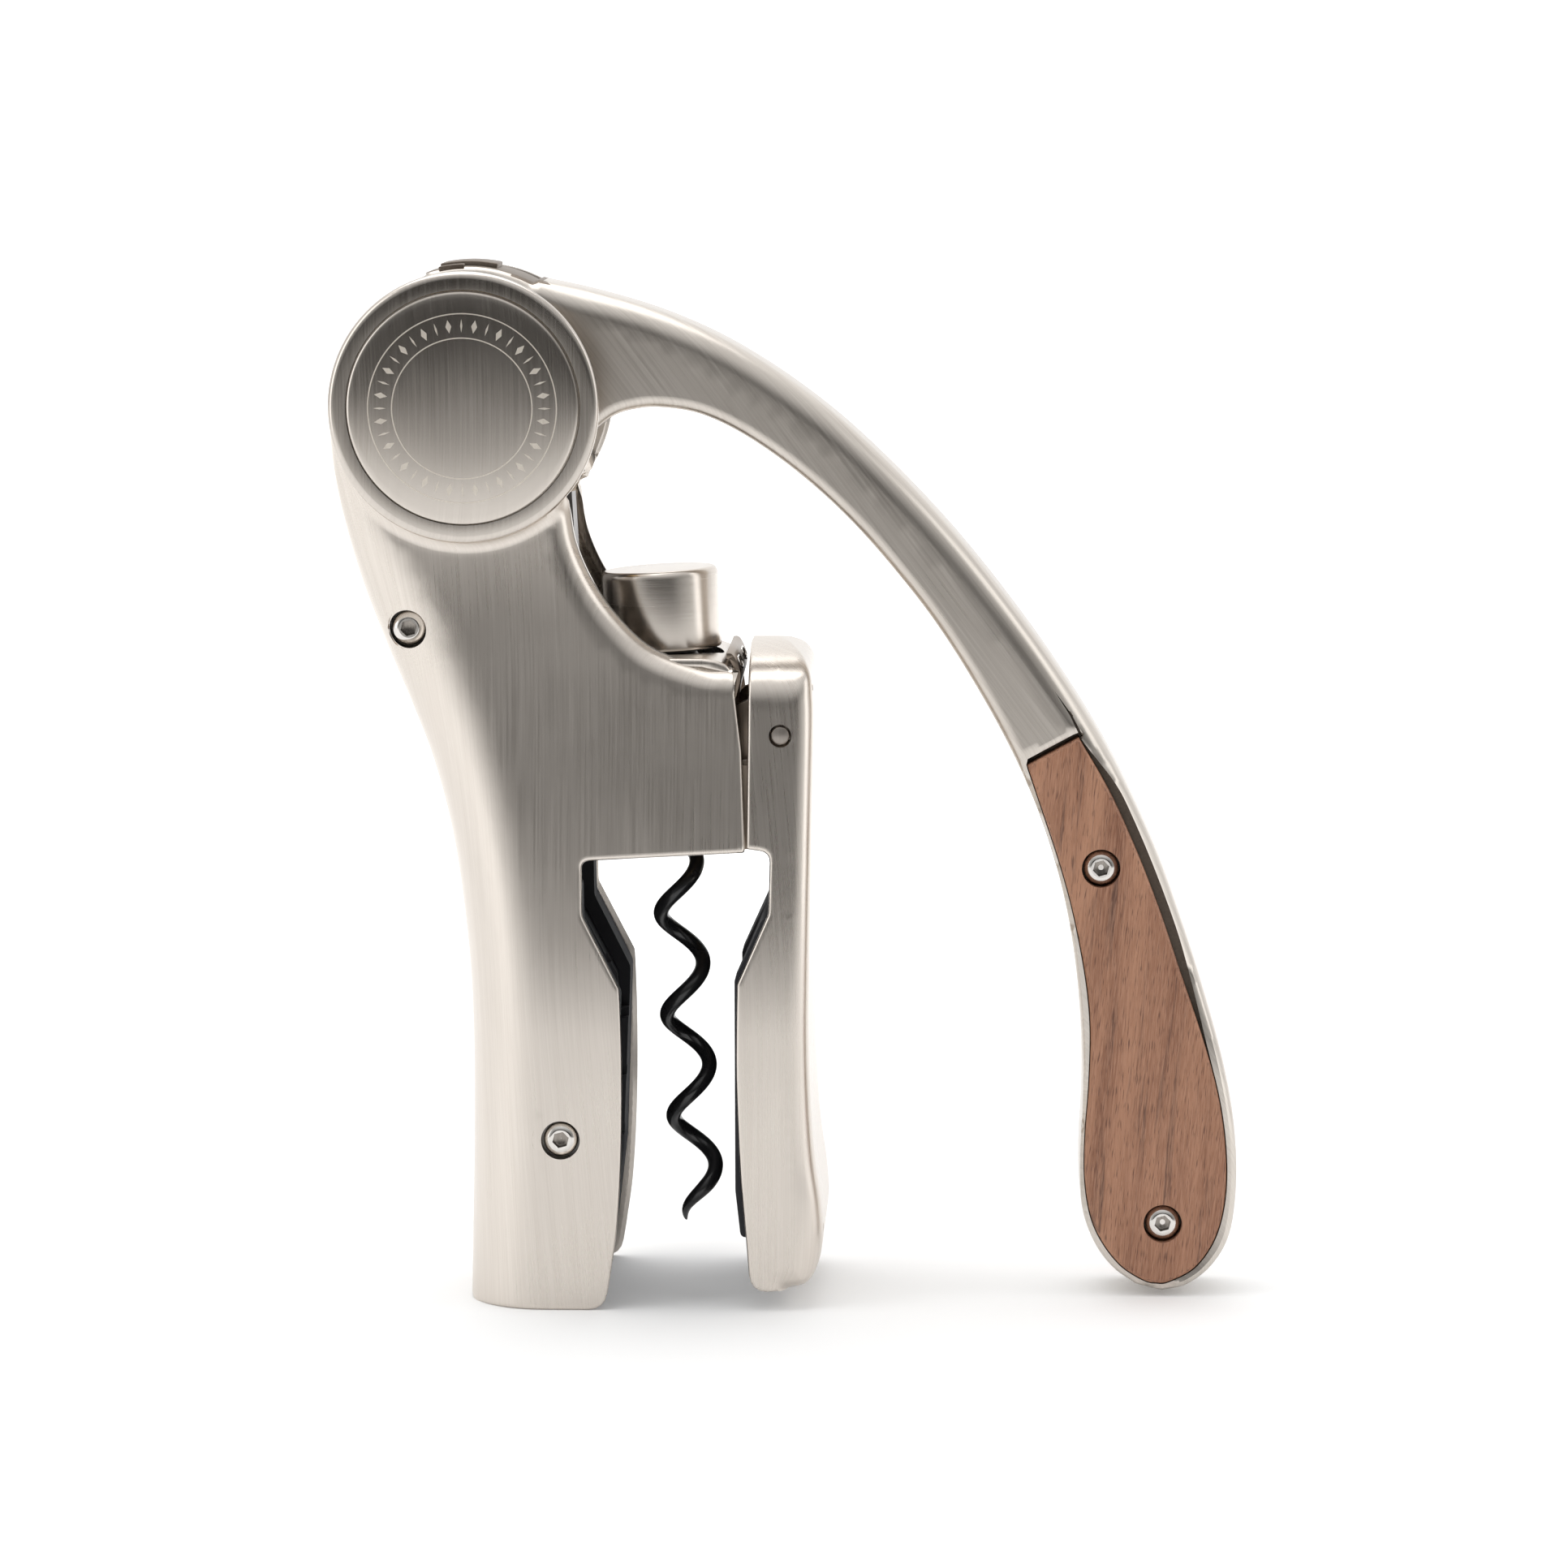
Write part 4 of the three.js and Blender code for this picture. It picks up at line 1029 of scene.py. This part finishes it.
def carriage():
    place = drive(WORM_OFFSET)
    profile = [
        (4.2, -43.6), (9.3, -43.6), (9.6, -43.5), (9.8, -43.2), (9.86, -42.8), (9.86, -31.3), (9.78, -30.7),
        (9.55, -30.2), (9.2, -29.95), (8.8, -29.9), (0, -29.9), (0, -33), (4.2, -33), (4.2, -43.6),
    ]
    cap = turned("carriage_cap_visible", profile, place, NICKEL_CAP, "carriage", 128)
    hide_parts("carriage_cap")
    profile = [
        (0, -69.5), (5.3, -69.5), (5.9, -69.2), (6.1, -68.6), (6.1, -64.5), (5.8, -64.2), (5.8, -63.4), (6.1, -63.1),
        (6.1, -46), (5.9, -45), (5.4, -44.2), (4, -44.2), (4, -34), (0, -34),
    ]
    barrel = turned("carriage_barrel_visible", profile, place, STEEL, "carriage", 64)
    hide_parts("carriage_barrel")


# Grip.

GRIP_BACK = spline(
    [(1.0, 3.2), (4.2, 4.2), (6.0, 7.2), (6.9, 12), (6.6, 18), (5.5, 26), (4.8, 36), (4.5, 48), (4.7, 66), (5.0, 84),
     (5.2, 97), (5.1, 102.5), (4.6, 106.4), (3.2, 109.2), (0.9, 110.9)],
    6,
)
GRIP_TOP = 111.4


def grip_outline():
    foot = rounded([(-5.9, 12), (-5.2, 3.2), (1.0, 3.2), (2.0, 3.5)], [0, 3.4, 0, 0])[:-2]
    left = spline([(-7.4, 55.3), (-7.55, 46), (-7.5, 38), (-6.9, 24), (-5.9, 12)], 8)
    notch = rounded(
        [(-5.8, 90), (-5.85, 77.8), (-1.95, 77.3), (-2.2, 67.1), (-7.4, 55.3), (-7.5, 50)],
        [0, 0.5, 1.9, 1.2, 0.8, 0],
    )[1:-1]
    top = rounded([(0.9, 110.9), (-0.9, GRIP_TOP), (-5.6, GRIP_TOP), (-5.5, 100)], [0, 1.2, 0.7, 0])[1:-1]
    line = np.vstack([GRIP_BACK, top, notch, left[1:-1], foot])
    return anticlockwise(plan(line))


DOME = np.array(
    [(101.3, 0), (102.9, 0.12), (104.5, 0.55), (105.9, 1.3), (107.1, 2.5), (108.2, 4.1), (109.2, 6.3), (110.05, 9.2),
     (110.75, 12.4), (111.2, 15.6), (111.4, 18.0)]
)


def grip_depth(points, outline, back):
    """Half thickness of the grip: flared like the body, with a rounded back and a domed top."""
    z = points[:, 1]
    half = LEG_HALF * thinning(z)
    to_back = distance(points, back, closed=False)
    r = GRIP_CORNER + 1.2 * smoothstep(z, 60, 0)
    lost = rounding(r, to_back)
    dome = spline(DOME, 8)
    lost = np.sqrt(lost**2 + np.interp(z, dome[:, 0], dome[:, 1]) ** 2)
    away = distance(points, outline)
    away = np.where(to_back < 1.5, 99, away)
    away = np.where(z > GRIP_TOP - 1.2, 99, away)
    return np.maximum(half - lost - rounding(EDGE, away), 0.3)


def grip():
    outline = grip_outline()
    back = plan(np.vstack([GRIP_BACK, [(-0.9, GRIP_TOP), (-5.6, GRIP_TOP)]]))
    holes = [circle(PIN, 1.9, 36)]
    verts, faces, _ = skin(
        outline,
        lambda p: grip_depth(p, outline, back),
        fillet_rows(EDGE, 4) + fillet_rows(3.6, 6)[2:],
        1.2,
        holes,
        [0.3, 0.8],
        (),
        back,
        lambda p: np.zeros(len(p)),
    )
    verts, faces = tidy(verts, faces)
    count = len(verts)
    verts = np.vstack([verts, verts * (1, -1, 1)])
    faces = np.vstack([faces, faces[:, ::-1] + count])
    verts, faces = welded(verts, faces)
    verts, faces = thicken(verts, faces, SHEET)
    obj = new_object("grip_visible", verts, faces, NICKEL_GRIP, "grip", 38)
    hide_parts("grip_shell")


def welded(verts, faces):
    """Vertices at the same place made one."""
    keys = np.round(verts, 3)
    _, first, index = np.unique(keys, axis=0, return_index=True, return_inverse=True)
    faces = index.reshape(-1)[faces]
    good = (faces[:, 0] != faces[:, 1]) & (faces[:, 1] != faces[:, 2]) & (faces[:, 0] != faces[:, 2])
    return verts[first], faces[good]


# Plain solids with soft edges.


def soften(obj, radius, segments=2, angle=35):
    """Rounded edges on a plain solid."""
    m = obj.modifiers.new("soft", "BEVEL")
    m.width = radius * MM
    m.segments = segments
    m.limit_method = "ANGLE"
    m.angle_limit = math.radians(angle)
    m.use_clamp_overlap = True
    apply_modifiers(obj, 40)


def block(name, outline, y0, y1, material, body):
    return new_object(name, *prism(outline, y0, y1), material, body)


def bore(radius, low, high, sides=56):
    """A round hole along the worm."""
    return moved_cutter(circle((0, 0), radius, sides), low, high, drive(WORM_OFFSET))


def neck_bores(first, last, low, high):
    """The bore for a bottle's neck, and the shallow rings that are cut along it."""
    rings = [bore(NECK_R + 1.2, z, z + 1.6, sides=72) for z in range(first, last, 10)]
    return [bore(NECK_R, low, high, sides=72)], rings


def guide_block():
    outline = plan([(-43, 80), (-34.4, 78.4), (-9, 79.4), (-9.4, 97), (-10.6, 106.6), (-34, 107.6), (-45, 103)])
    outline = rounded(outline, 1.0, 4)
    obj = block("guide_visible", outline, -16.7, 16.7, HOUSING, "frame_body")
    cut(obj, [bore(6.45, -69.9, -20), bore(6.8, -90, -64), slot_cutter()])
    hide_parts("guide_block")


def slot_cutter():
    return moved_cutter([(10.4, -5), (WORM_OFFSET, -5), (WORM_OFFSET, 5), (10.4, 5)], -67, 20, drive())


def leg_liner(side):
    word = side_word(side)
    outline = anticlockwise(
        plan(
            rounded(
                [(-46, 3), (-30.4, 3), (-28.2, 22), (-27.2, 52.8), (-33.4, 65.2), (-33.5, 72), (-46, 72)],
                [1, 2, 4, 2, 2, 1, 1],
            )
        )
    )
    body = body_outline()
    back = plan(BACK_EDGE)
    soft = plan(TOP_EDGE)
    screw = arc((BODY_SCREWS[1][0] - MIDDLE, BODY_SCREWS[1][1]), 3.9, 0, 350, 30)
    obj = slab(
        f"leg_saddle_{word}",
        outline,
        lambda p: body_depth(p, body, back, soft) - WALL - 0.25,
        0.15,
        [screw],
        side,
        LINER,
        "frame_body",
        [1.0],
        3.0,
    )
    grooves, rings = neck_bores(-138, -92, -160, -88.5)
    for reach, depth in ((3.4, 6.5), (1.7, 13.0)):
        groove = plan([(-34 - reach, 76), (-32, 76), (-32, 65.5), (-26, 53.5), (-26, 46), (-27.2 - reach, 46),
                       (-27.6 - reach, 52.2), (-34 - reach, 64.4)])
        grooves.append(prism_cutter(groove, 0 if side > 0 else -depth, depth if side > 0 else 0))
    cut(obj, grooves + rings)
    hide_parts(f"leg_liner_{word}")


def grip_liner():
    outline = [(-6.9, 12), (2.6, 12), (1.6, 40), (1.9, 66), (-3.2, 66), (-7.9, 55.6), (-7.8, 20)]
    outline = anticlockwise(plan(rounded(outline, 1.0, 4)))
    obj = block("grip_saddle", outline, -19.9, 19.9, LINER, "grip")
    neck, rings = neck_bores(-132, -92, -160, -60)
    cut(obj, neck + rings)
    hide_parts("grip_liner")


def grip_pin():
    length = 34.4
    profile = [
        (0, 0), (1.25, 0), (1.45, -0.1), (1.55, -0.3), (1.55, -34.1), (1.45, -34.3), (1.25, -length), (0, -length),
    ]
    half = LEG_HALF * float(thinning(PIN[1])) - 0.5
    profile = [(r, h * half * 2 / length) for r, h in profile]
    place = across(PIN[0], PIN[1], -half, -1)
    obj = turned("grip_pin_visible", profile, place, PIN_STEEL, "frame_body", 32)
    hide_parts("grip_pin")


def screws():
    levels = ("upper", "lower")
    for side in (-1, 1):
        word, end = side_word(side), "screw" if side < 0 else "nut"
        for level, (x, z, head) in zip(levels, BODY_SCREWS, strict=True):
            node = f"body_{end}_{level}"
            shank = screw_head(f"{node}_{word}", x - MIDDLE, z, side * head, side, "frame_body", node)
            join_shank(shank, x - MIDDLE, z, side, head, 2.4 if side < 0 else 2.5)
        for level, (x, z) in zip(levels, HANDLE_SCREWS, strict=True):
            node = f"handle_{end}_{level}"
            y = side * (LEVER_HALF - 0.15)
            shank = screw_head(f"{node}_{word}", x - MIDDLE, z, y, side, "lever", node)
            join_shank(shank, x - MIDDLE, z, side, LEVER_HALF, 2.2)


def join_shank(obj, x, z, side, head, radius):
    """A screw's shank, in the same piece as its head."""
    sides = 24
    ring = circle((x, z), radius, sides)
    y0, y1 = side * (head - 1.6), side * 0.2
    bm = bmesh.new()
    bm.from_mesh(obj.data)
    lows = [bm.verts.new((a * MM, y0 * MM, b * MM)) for a, b in ring]
    highs = [bm.verts.new((a * MM, y1 * MM, b * MM)) for a, b in ring]
    for i in range(sides):
        j = (i + 1) % sides
        bm.faces.new((lows[i], lows[j], highs[j], highs[i]))
    bm.faces.new(lows)
    bm.faces.new(highs[::-1])
    bmesh.ops.recalc_face_normals(bm, faces=bm.faces)
    bm.to_mesh(obj.data)
    bm.free()
    shade(obj.data, 30)


def bracket():
    """Stamped plate between the body and the grip: a slotted, bulged lip over the hinge knuckles."""
    face = spline(
        [(-8.3, 92), (-8.3, 100), (-7.6, 103.4), (-7.1, 105.4), (-7.1, 106.8), (-7.4, 107.9), (-7.8, 108.8),
         (-8.2, 109.5), (-8.7, 109.9), (-9.4, 109.9)],
        6,
    )
    outer = plan(face)
    normal = np.gradient(outer, axis=0)
    normal = np.stack([-normal[:, 1], normal[:, 0]], 1) / np.linalg.norm(normal, axis=1)[:, None]
    outline = np.vstack([outer, (outer + normal * 0.9)[::-1]])
    obj = block("bracket_visible", outline, -14.9, 14.9, BRASS_BROWN, "frame_body")
    slots = [(y, 107.8, 2.6, 0.85) for y in (-7.5, 7.5)]
    cut(obj, [oblong_cutter(*slot) for slot in slots])
    soften(obj, 0.22)
    for slot in slots:
        eyelet(*slot)
    outline = plan([(-8.4, 79.3), (-7.0, 79.3), (-6.9, 92.5), (-8.4, 92.5)])
    web = block("bracket_web", outline, -14.4, 14.4, BRASS_BROWN, "frame_body")
    soften(web, 0.25)
    flange = plan([(-8.2, 77.4), (-5.0, 77.4), (-5.0, 91.5), (-8.2, 91.5)])
    for side in (-1, 1):
        name = f"bracket_flange_{side_word(side)}"
        strip = block(name, flange, side * 16.9, side * 17.7, BRASS_BROWN, "frame_body")
    outline = plan([(-8.3, 91.2), (-1.8, 93.4), (1.9, 94.4), (1.9, 98.8), (-5.4, 102.2), (-8.3, 101.2)])
    outline = rounded(outline, 2.0, 6)
    for side in (-1, 1):
        name = f"bracket_knuckle_{side_word(side)}"
        knuckle = block(name, outline, side * 12.6, side * 14.4, BRASS_BROWN, "frame_body")
        cut(knuckle, [prism_cutter(arc(PIN, 1.85, 0, 350, 30), -20, 20)])
        soften(knuckle, 0.25)
    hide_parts("hinge_bracket")


def eyelet(y, z, half_length, radius):
    """A thin bright rim in a slot of the bracket's lip."""
    t = np.linspace(0, 2 * math.pi, 41)[:-1]
    flat = half_length - radius
    ys = y + radius * np.cos(t) + np.where(np.cos(t) > 0, flat, -flat)
    zs = z + radius * np.sin(t)
    xs = -7.37 - (zs - 107.9) * 0.5 - MIDDLE
    path = np.stack([xs, ys, zs], 1)
    path = np.vstack([path, path[:1]])
    obj = swept(f"bracket_eyelet_{side_word(y)}", path, 0.2, BRIGHT, "frame_body", 8)


def oblong_cutter(y, z, half_length, radius):
    """A slot with round ends that goes through along X."""
    reach = half_length - radius
    right, left = arc((y + reach, z), radius, -90, 90, 9), arc((y - reach, z), radius, 90, 270, 9)
    return solid_of(*prism(np.vstack([right, left]), -14, -5, 0))


def top_plate():
    """Metal deck between the body halves, bored for the carriage cap."""
    outline = plan(
        [(-8.7, 106.4), (-8.7, 107.4), (-9.5, 108.3), (-11.2, 108.9), (-13.5, 109.2), (-31.5, 109.2), (-31.5, 107.8),
         (-13.5, 107.5)]
    )
    obj = block("deck_plate", outline, -16.6, 16.6, NICKEL, "frame_body")
    soften(obj, 0.6, 4, 50)
    cut(obj, [bore(10.15, -60, -20, sides=96)])


# What stays as CAD.

KEPT = {
    "rack": STEEL, "pinion": STEEL, "main_axle": BRIGHT, "worm_collar": STEEL, "worm_guide_bush": BRASS,
    "hub_bush_near": BRASS, "hub_bush_far": BRASS, "body_sleeve_upper": STEEL, "body_sleeve_lower": STEEL,
    "grip_spring": BRIGHT,
}


def paint_kept():
    for node, material in KEPT.items():
        obj = frame["nodes"][node]
        obj.data.materials.clear()
        obj.data.materials.append(material)


# Studio.


def studio_plane(name, size, location, turn, colour, emit=0.0):
    m, _, shader = nodes_of(name)
    shader.inputs["Base Color"].default_value = (*colour, 1)
    shader.inputs["Roughness"].default_value = 0.9
    if emit:
        shader.inputs["Emission Color"].default_value = (*colour, 1)
        shader.inputs["Emission Strength"].default_value = emit
    mesh = bpy.data.meshes.new(name)
    x, y = size[0] / 2, size[1] / 2
    mesh.from_pydata([(-x, -y, 0), (x, -y, 0), (x, y, 0), (-x, y, 0)], [], [(0, 1, 2, 3)])
    mesh.materials.append(m)
    obj = linked(name, mesh)
    obj.location = location
    obj.rotation_euler = turn
    return m


def fade_floor(material):
    """The floor glows a little more behind the object, so that it meets the backdrop without a line."""
    tree = material.node_tree
    split = add(tree, "ShaderNodeSeparateXYZ", {"Vector": coordinates(tree)})
    glow = ramp(tree, split.outputs["Y"], -0.85, -0.35, 0.1, 0.75)
    feed(tree, tree.nodes["Principled BSDF"], {"Emission Strength": glow})


def light(name, size, location, target, power, colour=(1, 1, 1)):
    data = bpy.data.lights.new(name, "AREA")
    data.shape = "RECTANGLE"
    data.size, data.size_y = size
    data.energy = power
    data.color = colour
    obj = linked(name, data)
    obj.location = location
    obj.rotation_mode = "QUATERNION"
    obj.rotation_quaternion = (Vector(target) - Vector(location)).to_track_quat("-Z", "Y")


def world():
    """White behind and above, dark in front at eye height, so that the flat sides show their shape."""
    w = bpy.data.worlds.new("studio")
    w.use_nodes = True
    tree = w.node_tree
    toward = add(tree, "ShaderNodeTexCoord").outputs["Generated"]
    split = add(tree, "ShaderNodeSeparateXYZ", {"Vector": toward}).outputs
    x, y, z = split["X"], split["Y"], split["Z"]
    aside = maths(tree, "MULTIPLY", ramp(tree, x, 0.02, -0.25, 0, 1), ramp(tree, z, -0.03, -0.13, 0, 1))
    colour = mixed(tree, aside, (0.035, 0.033, 0.031), (0.4, 0.39, 0.38))
    for source, start, full, tone in (
        (z, 0.15, 0.75, (0.85, 0.85, 0.85)),
        (z, -0.04, -0.18, (0.82, 0.81, 0.79)),
        (x, -0.35, -0.8, (0.62, 0.62, 0.61)),
        (x, 0.45, 0.9, (0.5, 0.5, 0.49)),
        (y, -0.25, 0.25, (0.9, 0.9, 0.9)),
    ):
        colour = mixed(tree, ramp(tree, source, start, full, 0, 1), colour, tone)
    feed(tree, tree.nodes["Background"], {"Color": colour, "Strength": 1.0})
    bpy.context.scene.world = w
    bpy.context.scene.view_settings.view_transform = "Standard"


def camera():
    data = bpy.data.cameras.new("photo_camera")
    data.sensor_width = 36
    data.lens = 135.1
    data.clip_end = 50
    obj = linked("photo_camera", data)
    obj.location = (0.03172, -0.98896, 0.21030)
    obj.rotation_euler = (math.radians(82.85), 0, math.radians(1.9))
    bpy.context.scene.camera = obj


def studio():
    floor = studio_plane("floor", (5, 3.6), (0, 1.0, 0), (0, 0, 0), (0.92, 0.92, 0.92), 0.12)
    fade_floor(floor)
    studio_plane("backdrop", (8, 5), (0, 2.8, 2.45), (math.radians(90), 0, 0), (0.2, 0.2, 0.2), 5.0)
    light("left_box", (0.35, 0.8), (-0.7, -0.35, 0.4), (0, 0, 0.09), 1.2)
    light("right_box", (0.3, 0.8), (0.8, -0.1, 0.35), (0, 0, 0.09), 0.9)
    light("top_box", (0.9, 0.7), (-0.1, 0.1, 0.9), (0, 0, 0.09), 3)
    world()
    camera()


def build():
    for side in (-1, 1):
        body_half(side)
        ring_and_cap(side)
        scale(side)
        leg_liner(side)
    lever()
    head_block()
    screws()
    worm()
    carriage()
    guide_block()
    top_plate()
    bracket()
    grip()
    grip_liner()
    grip_pin()
    paint_kept()


build()
studio()
